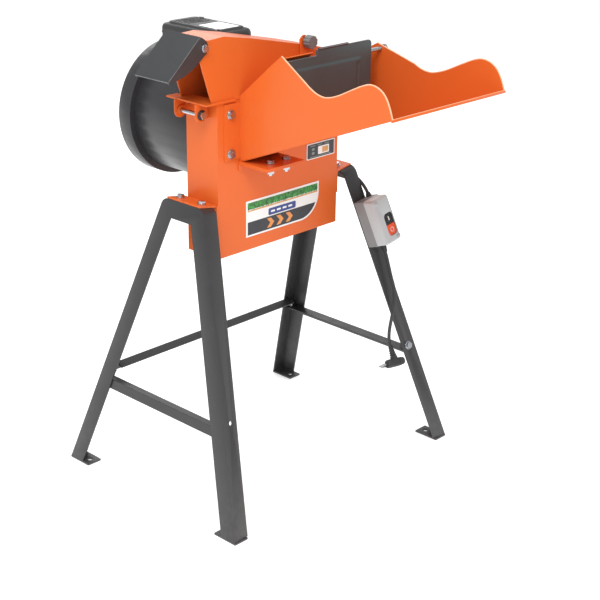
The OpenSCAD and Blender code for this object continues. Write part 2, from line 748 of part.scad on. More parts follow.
plug_lean = -35;
plug_turn = -15;
plug_up = [-sin(plug_lean) * -sin(plug_turn), -sin(plug_lean) * cos(plug_turn), cos(plug_lean)];
cord_end = plug_at + 26 * plug_up;
cord_route = [
  [gland_low, sw_pt([-5, -13, -85]), sw_pt([1, -12, -110]), sw_pt([2.5, -12, -135])],
  [sw_pt([2.5, -12, -135]), sw_pt([4.5, -12, -168]), [228, -158, 298], [222.5, -158.5, 279]],
  [[222.5, -158.5, 279], [218.5, -158.5, 262], cord_end + 22 * plug_up, cord_end]];
module power_cord() color(c_black) {
  P = concat([for (s = cord_route, i = [0 : 11]) bez(s, i / 12)], [cord_end]);
  tube(P, cord_r, [0.2, 1, 0]);
}
module at_plug() {
  translate(plug_at) rotate([plug_lean, 0, plug_turn]) children();
}
module plug_body() color(c_black) {
  at_plug() difference() {
    union() {
      translate([0, 0, -9.5]) rotate([90, 0, 0]) translate([0, 0, -9]) rounded_box(44, 20, 18, 6);
      for (i = [0 : 4]) translate([0, 0, 1 + i * 4.7]) cylinder(h = 3.6, r = 8 - i * 0.7, $fn = 32);
      translate([0, 0, -1]) cylinder(h = 28, r = 4.7, $fn = 32);
    }
    translate([0, 0, 16]) cylinder(h = 14, r = 3.7, $fn = 32);
    for (p = [[0, -5], [-4, 0], [0, 5]])
      translate([-30, p[1], -9.5 + p[0]]) along_x(0, 26, 2.01, 24);
  }
}
module plug_pins() color(c_steel) {
  at_plug() for (p = [[0, -5], [-4, 0], [0, 5]])
    translate([-39, p[1], -9.5 + p[0]]) along_x(0, 34, 2, 24);
}

// ---------- switch box ----------
btn_x = -6.2;
btn_z = -11;
btn_pitch = 12;
win_w = 26;
win_l = 47;
module window(g) {
  // g is the gap all round between a button and the opening
  rounded_rect(win_w - 2 * g, win_l - 2 * g, 8 - g);
}
module switch_base() color(c_base) {
  at_switch() difference() {
    translate([-box_w / 2, -base_d, -box_l / 2]) cube([box_w, base_d, box_l]);
    difference() {
      translate([-box_w / 2 + 2.5, -base_d - 1, -box_l / 2 + 2.5])
        cube([box_w - 5, base_d - 1.5, box_l - 5]);
      for (s = [-1, 1]) translate([s * 16, 0, s * 41]) rotate([90, 0, 0]) cylinder(h = base_d, r = 5, $fn = 32);
    }
    for (s = [-1, 1]) translate([s * 16, 0, s * 41]) rotate([90, 0, 0])
      translate([0, 0, 8]) cylinder(h = base_d, r = 2.05, $fn = 32);
    for (s = [-1, 1]) translate([0, -1, s * 34]) rotate([90, 0, 0])
      cylinder(h = 8, r = 2.6, center = true, $fn = 24);
    translate([-16, -7, box_l / 2 - 4]) cylinder(h = 8, r = 4, $fn = 32);
    translate([-5, -13, -box_l / 2 - 4]) cylinder(h = 8, r = 5, $fn = 32);
  }
}
module cover_block(w, l, d, r) {
  translate([0, 0, -l / 2]) linear_extrude(l) {
    translate([-w / 2, -d + r]) square([w, d - r]);
    translate([-w / 2 + r, -d]) square([w - 2 * r, d]);
    for (s = [-1, 1]) translate([s * (w / 2 - r), -d + r]) circle(r = r, $fn = 32);
  }
}
module switch_cover() color(c_cover) {
  at_switch() translate([0, -base_d - 0.1, 0]) difference() {
    cover_block(box_w, box_l, cover_d, 5);
    difference() {
      translate([0, 2, 0]) cover_block(box_w - 5, box_l - 5, cover_d - 0.5, 3);
      for (s = [-1, 1]) translate([s * 16, 0, s * 41]) rotate([90, 0, 0]) cylinder(h = 40, r = 5, $fn = 32);
    }
    // button window
    translate([btn_x, -cover_d + 5, btn_z]) rotate([90, 0, 0]) linear_extrude(6) window(0);
    // screw holes
    for (s = [-1, 1]) translate([s * 16, 0, s * 41]) rotate([90, 0, 0]) {
      translate([0, 0, -1]) cylinder(h = 40, r = 2.05, $fn = 32);
      translate([0, 0, cover_d - 3]) cylinder(h = 8, r = 4.3, $fn = 32);
    }
  }
}
module switch_screws() color(c_steel) {
  at_switch() translate([0, -base_d - 0.1, 0])
    for (s = [-1, 1]) translate([s * 16, -cover_d + 3, s * 41]) rotate([90, 0, 0]) difference() {
      union() {
        translate([0, 0, 0.05]) cylinder(h = 2, r = 4, $fn = 32);
        translate([0, 0, -cover_d - 9]) cylinder(h = cover_d + 10, r = 2, $fn = 32);
      }
      translate([-4, -0.5, 1.2]) cube([8, 1, 2]);
    }
}
module contact_block() color(c_base) {
  at_switch() translate([btn_x, -base_d - cover_d + 16, btn_z]) difference() {
    translate([-10, 0, -22]) cube([20, 35.3, 44]);
    for (s = [-1, 1]) translate([0, -1, s * btn_pitch]) rotate([-90, 0, 0])
      cylinder(h = 9, r = 4.1, $fn = 32);
  }
}
module button(side) {
  at_switch() translate([btn_x, -base_d - cover_d, btn_z + side * btn_pitch]) {
    translate([0, 10.6, -side * btn_pitch]) rotate([90, 0, 0]) linear_extrude(8.6) intersection() {
      window(0.4);
      translate([-20, side > 0 ? 0.4 : -40.4]) square([40, 40]);
    }
    translate([0, 19, 0]) rotate([90, 0, 0]) cylinder(h = 9, r = 3.6, $fn = 32);
  }
}
module start_button() color(c_black) button(1);
module stop_button() color(c_red) button(-1);

// ---------- labels ----------
module front_label() color(c_label) {
  xz_plate(house_front - 0.9, 0.8) difference() {
    translate([-92, 500]) square([202, 72]);
    difference() {
      translate([60, 490]) square([60, 60]);
      translate([60, 550]) circle(r = 50, $fn = 96);
    }
  }
}
module side_label() color(c_label) {
  xz_plate(house_front - 0.9, 0.8) translate([114, 636]) rounded_rect(80, 32, 2);
}

// ---------- rotor ----------
module rotor_shaft() color(c_steel) {
  translate([0, 0, axis_z]) {
    along_y(disc_y - 16, rim_y1 - 9, shaft_r, 64);
    along_y(disc_y - 22, disc_y - 12, 12.5, 6);
  }
}
module rotor_core() color(c_steel) {
  translate([0, 0, axis_z]) difference() {
    along_y(motor_y0 + 60, motor_y0 + 140, 61, 96);
    along_y(motor_y0 + 59, motor_y0 + 141, shaft_r + 0.02, 64);
  }
}
knife_a = [20, 200];
module cutter_disc() color(c_black) {
  translate([0, 0, axis_z]) difference() {
    union() {
      along_y(disc_y, disc_y + disc_t, disc_r, 128);
      along_y(disc_y - 6, disc_y + 44, 22, 64);
      for (i = [0 : paddle_n - 1]) rotate([0, i * 360 / paddle_n - 8, 0])
        translate([60, disc_y + disc_t - 1, -2.5]) cube([paddle_r - 60, 32, 5]);
    }
    along_y(disc_y - 7, disc_y + 46, shaft_r + 0.02, 64);
    for (a = knife_a) rotate([0, a, 0]) for (x = [62, 100])
      translate([x, 0, 4]) along_y(disc_y - 1, disc_y + disc_t + 1, 3.2, 32);
    for (a = knife_a) rotate([0, a, 0])
      translate([46, disc_y - 1, -20]) cube([70, disc_t + 2, 12]);
  }
}
module knives() color(c_steel) {
  translate([0, 0, axis_z]) for (a = knife_a) rotate([0, a, 0]) difference() {
    translate([46, disc_y - 0.05, 0]) rotate([90, 0, 0]) linear_extrude(6)
      polygon([[0, 18], [70, 18], [70, -12], [66, -16], [0, -16]]);
    for (x = [62, 100]) translate([x, 0, 4]) along_y(disc_y - 8, disc_y + 1, 3.2, 32);
    translate([40, disc_y - 6.1, -16]) rotate([-30, 0, 0]) translate([0, -8, -12]) cube([90, 8, 14]);
  }
}
module knife_bolts() color(c_zinc) {
  translate([0, 0, axis_z]) for (a = knife_a) rotate([0, a, 0]) for (x = [62, 100]) {
    translate([x, 0, 4]) {
      along_y(disc_y - 6.1, disc_y + disc_t + 8, 3, 32);
      along_y(disc_y - 10, disc_y - 6.1, 6, 6);
      along_y(disc_y + disc_t + 0.05, disc_y + disc_t + 5, 5.8, 6);
    }
  }
}
module cooling_fan() color(c_black) {
  translate([0, 0, axis_z]) difference() {
    union() {
      along_y(rim_y0 + 10, rim_y0 + 24, 18, 64);
      along_y(rim_y0 + 10, rim_y0 + 12, 96, 96);
      for (a = [0 : 45 : 315]) rotate([0, a, 0])
        translate([16, rim_y0 + 11, -1]) cube([80, 13, 2]);
    }
    along_y(rim_y0 + 9, rim_y0 + 25, shaft_r + 0.06, 64);
  }
}

// ---------- lid ----------
module lid_outline() {
  polygon([[-176, lid_z], [-204, 855], [-189, 868], [-185, 890], [-145, roof_z],
    [-81, 881], [64, 850], [122, 836], [152, 812], [house_x, 788], [house_x, lid_z]]);
}
module lid_inner() {
  polygon([[-230, lid_z - 1], [-230, 830], [-230, 887.4], [-185, 887.4], [-145, roof_z - 2.6],
    [-81, 878.3], [64, 847.4], [121, 833.6], [150, 810.4], [house_x - 2.5, 787], [house_x - 2.5, lid_z - 1]]);
}
module lid_shell() color(c_orange) {
  difference() {
    union() {
      difference() {
        xz_plate(lid_y0, lid_y1 - lid_y0) lid_outline();
        xz_plate(lid_y0 + 2.5, lid_y1 - lid_y0 - 5) lid_inner();
      }
      // foot flange, wider at the discharge side
      difference() {
        union() {
          translate([-193, house_front - 4, lid_z]) cube([72, house_back - house_front + 8, 3]);
          translate([-193, house_back, lid_z]) cube([27, 22, 3]);
          translate([-125, lid_y0, lid_z]) cube([125 + house_x, lid_y1 - lid_y0, 3]);
        }
        translate([-150, lid_y0 + 2.5, lid_z - 1]) cube([310, lid_y1 - lid_y0 - 5, 6]);
      }
      // upstand that carries the clamp stud
      translate([knob_x, 0, knob_z]) xz_plate(lid_y0, 2.5) {
        circle(r = 11, $fn = 48);
        translate([-11, -20]) square([22, 20]);
      }
      // hinge ears
      translate([hinge_x, 0, hinge_z]) for (y = [ear_y0, ear_y1])
        xz_plate(y, ear_t) {
          circle(r = 14, $fn = 64);
          translate([-9, 0]) square([23, lid_z - hinge_z + 1]);
          translate([-14, 0]) square([14, lid_z - hinge_z + 1]);
        }
    }
    translate([hinge_x, 0, hinge_z]) along_y(-60, 60, pin_r + run, 48);
    translate([defl_x, 0, defl_z]) along_y(-60, 60, pin_r + 0.01, 48);
    translate([knob_x, 0, knob_z]) along_y(-60, -30, pin_r + run, 48);
  }
}
module deflector_bolts() color(c_zinc) {
  for (s = [-1, 1]) {
    yo = s < 0 ? lid_y0 - 3.35 : lid_y1 + 3.35;
    translate([defl_x, yo, defl_z]) rotate([s < 0 ? 90 : -90, 0, 0]) {
      cylinder(h = 1.2, r = 7.6, $fn = 32);
      cylinder(h = 5.4, r = 6.6, $fn = 6);
      translate([0, 0, -11]) cylinder(h = 12, r = pin_r, $fn = 32);
    }
  }
}
module defl_side() {
  polygon(concat([[-206, 900]], smooth([[-199, 896.5], [-191, 890], [-186, 881], [-188, 871], [-197, 863.5],
    [-211, 853], [-228, 842], [-250, 833.5], [-268, 829], [-279, 826]], 3), [[-279, 826], [-282, 831]]));
}
module deflector() color(c_black) {
  difference() {
    union() {
      xz_plate(lid_y0 - 3, 2.6) defl_side();
      xz_plate(lid_y1 + 0.4, 2.6) defl_side();
      xz_plate(lid_y0 - 3, lid_y1 - lid_y0 + 6)
        polygon([[-206, 900], [-207.5, 898], [-280.4, 828.6], [-282, 831]]);
      xz_plate(lid_y0 - 3, lid_y1 - lid_y0 + 6)
        polygon([[-206, 900], [-208, 898.4], [-202, 894.2], [-200.5, 896.4]]);
    }
    translate([defl_x, 0, defl_z]) along_y(-60, 60, pin_r + run, 48);
  }
}
module clamp_knob() color(c_knob) {
  translate([knob_x, 0, knob_z]) {
    difference() {
      along_y(house_front - 23, house_front - 8, 12.6, 64);
      for (a = [0 : 36 : 324]) rotate([0, a, 0]) translate([14, 0, 0])
        along_y(house_front - 26, house_front - 6, 2.6, 24);
    }
    along_y(house_front - 8.1, house_front - 5.8, 9, 48);
    along_y(house_front - 20, house_front + 10, pin_r, 48);
  }
}
module safety_flap() color(c_black) {
  difference() {
    union() {
      translate([flap_x0, flap_y, flap_z0]) cube([flap_x1 - flap_x0, 2.5, 836 - flap_z0]);
      translate([flap_x0, flap_y, 830]) cube([hood_cut + 10 - flap_x0, 2.5, 858 - 830]);
      translate([hood_cut + 4, flap_y, 830]) cube([flap_x1 - hood_cut - 12, 2.5, flap_z1 - 830]);
      translate([hood_cut + 4, flap_y, 830]) cube([flap_x1 - hood_cut - 4, 2.5, flap_z1 - 838]);
      translate([flap_x1 - 8, flap_y + 2.5, flap_z1 - 8]) rotate([90, 0, 0]) cylinder(h = 2.5, r = 8, $fn = 32);
      translate([0, rod_y, rod_z]) along_x(flap_x0, flap_x1, 6.4, 48);
      translate([-18, flap_y - 1.5, flap_z1 - 3]) cube([82, 5.5, 4]);
      // pressed panel on the front
      translate([-70, flap_y - 1.5, 734]) cube([164, 2, 98]);
    }
    translate([0, rod_y, rod_z]) along_x(flap_x0 - 1, flap_x1 + 1, pin_r + run, 48);
    translate([66, flap_y - 5, flap_z1 - 4]) cube([7, 10, 8]);
  }
}

left_front_leg();
left_rear_leg();
left_top_rail();
left_crossbar();
right_front_leg();
right_rear_leg();
right_top_rail();
right_crossbar();
rear_brace();
foot_plates();
stand_bolts();
left_bracket();
right_bracket();
housing_shell();
hinge_pin();
hinge_washers();
scroll_sieve();
counter_knife();
feed_tray();
tray_bolts();
tray_shelf();
flap_rod();
motor_front_shield();
motor_shell();
motor_rear_cover();
stator();
bearings();
motor_bolts();
terminal_box();
terminal_screws();
capacitor();
motor_lead();
lead_glands();
lead_clips();
switch_base();
switch_cover();
switch_screws();
contact_block();
cord_gland();
power_cord();
plug_body();
plug_pins();
front_label();
side_label();
rotor_shaft();
rotor_core();
cutter_disc();
knives();
knife_bolts();
cooling_fan();
lid_shell();
deflector_bolts();
deflector();
clamp_knob();
safety_flap();
start_button();
stop_button();
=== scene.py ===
import bpy, bmesh, math, random
from mathutils import Matrix, Vector


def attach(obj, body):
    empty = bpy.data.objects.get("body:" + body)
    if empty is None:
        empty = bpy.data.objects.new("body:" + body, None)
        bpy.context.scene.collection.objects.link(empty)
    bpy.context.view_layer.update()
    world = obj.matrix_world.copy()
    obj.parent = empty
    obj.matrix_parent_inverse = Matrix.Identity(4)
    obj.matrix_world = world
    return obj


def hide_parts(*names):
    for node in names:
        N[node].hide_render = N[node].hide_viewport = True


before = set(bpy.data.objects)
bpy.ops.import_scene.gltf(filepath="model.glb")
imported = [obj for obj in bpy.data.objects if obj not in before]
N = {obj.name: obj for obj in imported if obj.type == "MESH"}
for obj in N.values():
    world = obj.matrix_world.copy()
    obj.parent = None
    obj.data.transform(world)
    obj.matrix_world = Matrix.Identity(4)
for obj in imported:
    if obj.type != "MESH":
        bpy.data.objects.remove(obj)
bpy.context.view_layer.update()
scene = bpy.context.scene
MM = 0.001

# ---------------------------------------------------------------- camera
YAW, PITCH, ROLL = 0.8143, 0.3901, 0.01495
CAM_AT = (-1.8333, -1.8359, 1.3708)
SENSOR_MM, LENS_MM, SHIFT_Y = 36.0, 82.614, 13.4 / 600
fw = Vector((math.sin(YAW) * math.cos(PITCH), math.cos(YAW) * math.cos(PITCH), -math.sin(PITCH)))
side = fw.cross(Vector((0, 0, 1))).normalized()
upv = side.cross(fw)
right = side * math.cos(ROLL) + upv * math.sin(ROLL)
up = -side * math.sin(ROLL) + upv * math.cos(ROLL)
cam = bpy.data.objects.new("camera", bpy.data.cameras.new("camera"))
scene.collection.objects.link(cam)
cam.data.sensor_width = SENSOR_MM
cam.data.lens = LENS_MM
cam.data.shift_y = SHIFT_Y
cam.data.clip_end = 60
cam.matrix_world = Matrix((
    (right.x, up.x, -fw.x, CAM_AT[0]),
    (right.y, up.y, -fw.y, CAM_AT[1]),
    (right.z, up.z, -fw.z, CAM_AT[2]),
    (0, 0, 0, 1)))
scene.camera = cam

# ---------------------------------------------------------------- stand geometry shared with the CAD, in mm
STAND_H, FOOT_X, FOOT_Y, RAIL_X, RAIL_Y = 585.0, 315.0, 246.0, 210.0, 54.0
LEAN = math.atan((FOOT_X - RAIL_X) / STAND_H)
LEG_H = STAND_H / math.cos(LEAN)
SPLAY = math.atan((FOOT_Y - RAIL_Y) / LEG_H)
SW_X, SW_Z, BOX_L, BOX_W, BASE_D, COVER_D = 12.0, 474.0, 98.0, 46.0, 26.0, 28.0


def frame_pt(p, left=False):
    """a point of the right side frame's own plane (x inward, y along the rail, z up from the rail) in mm"""
    x = p[0] * math.cos(LEAN) + p[2] * math.sin(LEAN) - RAIL_X
    z = -p[0] * math.sin(LEAN) + p[2] * math.cos(LEAN) + STAND_H
    return Vector((x if left else -x, p[1], z))


def sw_pt(p):
    """a point of the switch box's own frame (x across, y out of the leg, z along the leg) in mm"""
    q = (p[0] + SW_X, p[1] - 0.1, p[2] - (STAND_H - SW_Z) / math.cos(LEAN) / math.cos(SPLAY))
    return frame_pt((q[0], q[1] * math.cos(SPLAY) + q[2] * math.sin(SPLAY) - RAIL_Y,
                     -q[1] * math.sin(SPLAY) + q[2] * math.cos(SPLAY)))


def bez(p, t):
    """a point on a cubic Bezier curve"""
    u = 1 - t
    return u * u * u * p[0] + 3 * u * u * t * p[1] + 3 * u * t * t * p[2] + t * t * t * p[3]


def evenly(pts, n):
    """n points the same distance apart along a dense run of points"""
    run = [0.0]
    for a, b in zip(pts, pts[1:]):
        run.append(run[-1] + (b - a).length)
    out, j = [], 0
    for i in range(n):
        s = run[-1] * i / (n - 1)
        while j < len(run) - 2 and run[j + 1] < s:
            j += 1
        out.append(pts[j].lerp(pts[j + 1], min(1.0, (s - run[j]) / max(1e-9, run[j + 1] - run[j]))))
    return out, run[-1]


# ---------------------------------------------------------------- materials
def _link(t, a, b):
    t.links.new(a, b)


def _node(t, kind, **props):
    n = t.nodes.new(kind)
    for k, v in props.items():
        setattr(n, k, v)
    return n


def _coord(t, scale=(1, 1, 1)):
    c = _node(t, "ShaderNodeTexCoord")
    m = _node(t, "ShaderNodeMapping")
    m.inputs["Scale"].default_value = scale
    _link(t, c.outputs["Object"], m.inputs["Vector"])
    return m.outputs["Vector"]


def _noise(t, vec, scale, detail=3.0, rough=0.5):
    n = _node(t, "ShaderNodeTexNoise")
    n.inputs["Scale"].default_value = scale
    n.inputs["Detail"].default_value = detail
    n.inputs["Roughness"].default_value = rough
    _link(t, vec, n.inputs["Vector"])
    return n.outputs["Fac"]


def _ramp(t, fac, stops):
    r = _node(t, "ShaderNodeValToRGB")
    e = r.color_ramp.elements
    while len(e) < len(stops):
        e.new(0.5)
    for i, (p, c) in enumerate(stops):
        e[i].position = p
        e[i].color = (*c, 1) if len(c) == 3 else c
    _link(t, fac, r.inputs["Fac"])
    return r.outputs["Color"]


def _range(t, fac, lo, hi, a=0.3, b=0.7):
    m = _node(t, "ShaderNodeMapRange")
    m.inputs["From Min"].default_value = a
    m.inputs["From Max"].default_value = b
    m.inputs["To Min"].default_value = lo
    m.inputs["To Max"].default_value = hi
    _link(t, fac, m.inputs["Value"])
    return m.outputs["Result"]


def _mix(t, fac, a, b):
    m = _node(t, "ShaderNodeMix", data_type="RGBA")
    _link(t, fac, m.inputs[0])
    for sock, v in ((m.inputs[6], a), (m.inputs[7], b)):
        if isinstance(v, bpy.types.NodeSocket):
            _link(t, v, sock)
        else:
            sock.default_value = (*v, 1)
    return m.outputs[2]


def shade(c, k):
    return tuple(min(1.0, x * k) for x in c)


def material(name, color, rough=(0.3, 0.42), metallic=0.0, mottle=9.0, spread=0.06, peel=(260.0, 0.03),
             coat=0.0, grit=None, dust=0.0, scuff=None, spec=0.5, brushed=None):
    """a procedural finish: cloudy colour, fine surface relief, uneven gloss, scuffs and dust near the floor"""
    m = bpy.data.materials.new(name)
    m.use_nodes = True
    t = m.node_tree
    b = t.nodes["Principled BSDF"]
    b.inputs["Metallic"].default_value = metallic
    b.inputs["Specular IOR Level"].default_value = spec
    b.inputs["Coat Weight"].default_value = coat
    b.inputs["Coat Roughness"].default_value = 0.12
    vec = _coord(t, brushed or (1, 1, 1))
    flat = _coord(t)
    cloud = _noise(t, flat, mottle, 4.0, 0.55)
    col = _ramp(t, cloud, [(0.30, shade(color, 1 - spread)), (0.52, color), (0.72, shade(color, 1 + spread))])
    if grit:
        fine = _noise(t, vec, grit[0], 2.0, 0.6)
        col = _mix(t, _range(t, fine, 0.0, grit[1], 0.45, 0.75), col, shade(color, grit[2]))
    if scuff:
        s = _noise(t, flat, scuff[0], 6.0, 0.7)
        col = _mix(t, _range(t, s, 0.0, scuff[1], 0.66, 0.74), col, scuff[2])
    if dust:
        sep = _node(t, "ShaderNodeSeparateXYZ")
        _link(t, flat, sep.inputs["Vector"])
        low = _range(t, sep.outputs["Z"], dust, 0.0, 0.0, 0.16)
        speck = _noise(t, flat, 60.0, 5.0, 0.7)
        mul = _node(t, "ShaderNodeMath", operation="MULTIPLY")
        _link(t, low, mul.inputs[0])
        _link(t, _range(t, speck, 0.2, 1.0, 0.35, 0.7), mul.inputs[1])
        col = _mix(t, mul.outputs[0], col, (0.34, 0.31, 0.27))
    _link(t, col, b.inputs["Base Color"])
    gloss = _noise(t, vec, mottle * 4.0, 4.0, 0.6)
    _link(t, _range(t, gloss, rough[0], rough[1]), b.inputs["Roughness"])
    relief = _noise(t, vec, peel[0], 3.0, 0.55)
    bump = _node(t, "ShaderNodeBump")
    bump.inputs["Strength"].default_value = min(1.0, peel[1] * 8)
    bump.inputs["Distance"].default_value = 0.00012
    _link(t, relief, bump.inputs["Height"])
    _link(t, bump.outputs["Normal"], b.inputs["Normal"])
    return m


ORANGE = (0.700, 0.134, 0.024)
M = {
    "orange": material("orange_enamel", ORANGE, (0.30, 0.36), mottle=3.5, spread=0.015, peel=(900.0, 0.006),
                       coat=0.04, spec=0.22),
    # pale orange for the tray's rolled hems and lip: a painted highlight along those edges
    "edge": material("orange_painted_edge_highlight", (0.90, 0.46, 0.27), (0.25, 0.40), mottle=40.0, spread=0.12,
                     peel=(500.0, 0.05)),
    "frame": material("stand_paint", (0.027, 0.027, 0.029), (0.34, 0.46), mottle=7.0, spread=0.12,
                      peel=(380.0, 0.09), dust=0.10, scuff=(30.0, 0.18, (0.16, 0.15, 0.14)), spec=0.55),
    "zinc": material("bright_zinc", (0.50, 0.52, 0.55), (0.14, 0.28), 1.0, mottle=120.0, spread=0.10,
                     peel=(900.0, 0.04), grit=(700.0, 0.35, 0.72)),
    "plastic": material("moulded_black", (0.028, 0.028, 0.030), (0.42, 0.58), mottle=14.0, spread=0.10,
                        peel=(1400.0, 0.10)),
    "black": material("satin_black_paint", (0.031, 0.034, 0.037), (0.30, 0.42), mottle=8.0, spread=0.10,
                      peel=(420.0, 0.07), scuff=(34.0, 0.20, (0.15, 0.14, 0.14))),
    "steel": material("ground_steel", (0.52, 0.52, 0.54), (0.24, 0.40), 1.0, mottle=50.0, spread=0.12,
                      peel=(700.0, 0.06), brushed=(1, 12, 1), grit=(160.0, 0.4, 0.75)),
    "blade": material("knife_steel", (0.62, 0.62, 0.64), (0.14, 0.30), 1.0, mottle=60.0, spread=0.10,
                      peel=(600.0, 0.06), brushed=(1, 1, 14), grit=(160.0, 0.3, 0.8)),
    "motor": material("motor_paint", (0.031, 0.031, 0.034), (0.28, 0.40), mottle=6.0, spread=0.10,
                      peel=(240.0, 0.10), scuff=(26.0, 0.12, (0.15, 0.15, 0.15))),
    "copper": material("varnished_copper", (0.56, 0.24, 0.09), (0.25, 0.42), 0.7, mottle=120.0, spread=0.25,
                       peel=(900.0, 0.2), brushed=(1, 1, 6)),
    "flap": material("flap_black", (0.052, 0.082, 0.088), (0.30, 0.42), mottle=8.0, spread=0.10,
                     peel=(420.0, 0.07)),
    "rubber": material("cord_rubber", (0.034, 0.034, 0.036), (0.50, 0.66), mottle=60.0, spread=0.14,
                       peel=(1800.0, 0.10)),
    "grey": material("switch_base_grey", (0.205, 0.208, 0.210), (0.44, 0.58), mottle=22.0, spread=0.05,
                     peel=(1500.0, 0.08)),
    "light": material("switch_cover_light", (0.47, 0.495, 0.505), (0.36, 0.50), mottle=20.0, spread=0.03,
                      peel=(1500.0, 0.06)),
    "white": material("label_white", (0.80, 0.81, 0.80), (0.28, 0.40), mottle=30.0, spread=0.03,
                      peel=(900.0, 0.02), coat=0.2),
    "knob": material("knob_grey", (0.165, 0.170, 0.172), (0.40, 0.56), mottle=30.0, spread=0.10,
                     peel=(1300.0, 0.10)),
    "start": material("start_black", (0.020, 0.020, 0.021), (0.22, 0.34), mottle=60.0, spread=0.1,
                      peel=(900.0, 0.03)),
    "stop": material("stop_red", (0.78, 0.090, 0.022), (0.22, 0.34), mottle=60.0, spread=0.06,
                     peel=(900.0, 0.03)),
    "print_green": material("label_grass", (0.030, 0.27, 0.030), (0.28, 0.40), mottle=150.0, spread=0.85,
                            peel=(900.0, 0.02), brushed=(2.2, 1, 0.8), grit=(190.0, 1.0, 0.06)),
    "print_tan": material("label_tan", (0.62, 0.30, 0.075), (0.28, 0.40), mottle=60.0, spread=0.08,
                          peel=(900.0, 0.02)),
    "print_blue": material("label_blue", (0.022, 0.050, 0.24), (0.28, 0.40), mottle=60.0, spread=0.10,
                           peel=(900.0, 0.02)),
    "print_dark": material("label_dark", (0.018, 0.019, 0.026), (0.28, 0.40), mottle=60.0, spread=0.12,
                           peel=(900.0, 0.02)),
    "print_amber": material("label_amber", (0.72, 0.27, 0.05), (0.28, 0.40), mottle=60.0, spread=0.08,
                            peel=(900.0, 0.02)),
    "print_grey": material("label_grey", (0.20, 0.24, 0.21), (0.28, 0.40), mottle=60.0, spread=0.10,
                           peel=(900.0, 0.02)),
    # light grey for thin tubes along the deflector fold and the flap's top edge: a painted highlight
    "edge_highlight_grey": material("black_edge_painted_highlight", (0.16, 0.165, 0.17), (0.25, 0.40), mottle=60.0, spread=0.3,
                     peel=(500.0, 0.06), grit=(220.0, 0.6, 0.4)),
    "weld": material("painted_weld", (0.064, 0.064, 0.067), (0.36, 0.52), mottle=120.0, spread=0.2,
                     peel=(700.0, 0.2)),
}


# ---------------------------------------------------------------- mesh helpers
def obj_from(name, bm, mat, body, smooth=True, angle=35.0):
    me = bpy.data.meshes.new(name)
    bm.normal_update()
    bm.to_mesh(me)
    bm.free()
    o = bpy.data.objects.new(name, me)
    scene.collection.objects.link(o)
    me.materials.append(mat)
    if smooth:
        soften(o, angle)
    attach(o, body)
    return o


def soften(o, angle=35.0):
    """smooth faces, sharp only where two faces meet at more than the angle"""
    me = o.data
    bm = bmesh.new()
    bm.from_mesh(me)
    for f in bm.faces:
        f.smooth = True
    for e in bm.edges:
        if len(e.link_faces) == 2:
            e.smooth = e.calc_face_angle(0.0) < math.radians(angle)
    bm.to_mesh(me)
    bm.free()


def at(x, y, z):
    """a point given in mm, in metres"""
    return Vector((x, y, z)) * MM


def bridge(bm, rings, caps=False):
    """faces between neighbouring rings of vertices, and over the first and last ring where caps is set"""
    for r0, r1 in zip(rings, rings[1:]):
        n = len(r0)
        for j in range(n):
            bm.faces.new((r0[j], r0[(j + 1) % n], r1[(j + 1) % n], r1[j]))
    if caps:
        bm.faces.new(rings[0][::-1])
        bm.faces.new(rings[-1])


def tube(bm, pts, radius, k=12, ref=Vector((0.3, 1, 0.2)), ends=True):
    """a round tube along points in metres; radius may be a list"""
    rings = []
    for i, p in enumerate(pts):
        t = (pts[min(i + 1, len(pts) - 1)] - pts[max(i - 1, 0)]).normalized()
        a = t.cross(ref).normalized()
        b = t.cross(a)
        r = radius[i] if isinstance(radius, list) else radius
        rings.append([bm.verts.new(p + (a * math.cos(2 * math.pi * j / k) + b * math.sin(2 * math.pi * j / k)) * r)
                      for j in range(k)])
    bridge(bm, rings, ends)
    bmesh.ops.recalc_face_normals(bm, faces=bm.faces)


def plate(bm, outline, depth, place, inset=0.0):
    """an outline (list of 2D points, mm) given thickness and placed by place(x, y, z) -> metres, with a chamfer"""
    n = len(outline)
    cx = sum(p[0] for p in outline) / n
    cy = sum(p[1] for p in outline) / n

    def ring(z, k):
        out = []
        for x, y in outline:
            d = math.hypot(x - cx, y - cy) or 1.0
            s = 1 - k / d
            out.append(bm.verts.new(place(cx + (x - cx) * s, cy + (y - cy) * s, z)))
        return out
    rings = [ring(0, 0), ring(depth - inset, 0)]
    if inset:
        rings.append(ring(depth, inset))
    bridge(bm, rings, True)
    bmesh.ops.recalc_face_normals(bm, faces=bm.faces)


def revolve(bm, prof, place, k=28, caps=True):
    """a round body from (height, radius) pairs in mm, placed by place(x, y, h) -> metres"""
    rings = [[bm.verts.new(place(r * math.cos(2 * math.pi * j / k), r * math.sin(2 * math.pi * j / k), h))
              for j in range(k)] for h, r in prof]
    bridge(bm, rings, caps)
    bmesh.ops.recalc_face_normals(bm, faces=bm.faces)


def rounded(x0, y0, x1, y1, r, k=6):
    """the outline of a rectangle with round corners"""
    out = []
    for cx, cy, a in ((x1 - r, y1 - r, 0), (x0 + r, y1 - r, 90), (x0 + r, y0 + r, 180), (x1 - r, y0 + r, 270)):
        for i in range(k + 1):
            b = math.radians(a + 90 * i / k)
            out.append((cx + r * math.cos(b), cy + r * math.sin(b)))
    return out


def edges(node, width, segments=2, angle=32.0):
    """small rounded edges on a CAD node that stays, without moving its own vertices"""
    o = N[node]
    w = o.modifiers.new("join", "WELD")
    w.merge_threshold = 1e-6
    d = o.modifiers.new("flat_faces", "DECIMATE")
    d.decimate_type = "DISSOLVE"
    d.angle_limit = math.radians(0.6)
    b = o.modifiers.new("edges", "BEVEL")
    b.width = width * MM
    b.segments = segments
    b.limit_method = "ANGLE"
    b.angle_limit = math.radians(angle)
    b.use_clamp_overlap = True
    b.harden_normals = True
    b.miter_outer = "MITER_ARC"


def paint(mat, *nodes):
    """give CAD nodes their material"""
    for n in nodes:
        o = N[n]
        o.data.materials.clear()
        o.data.materials.append(M[mat])


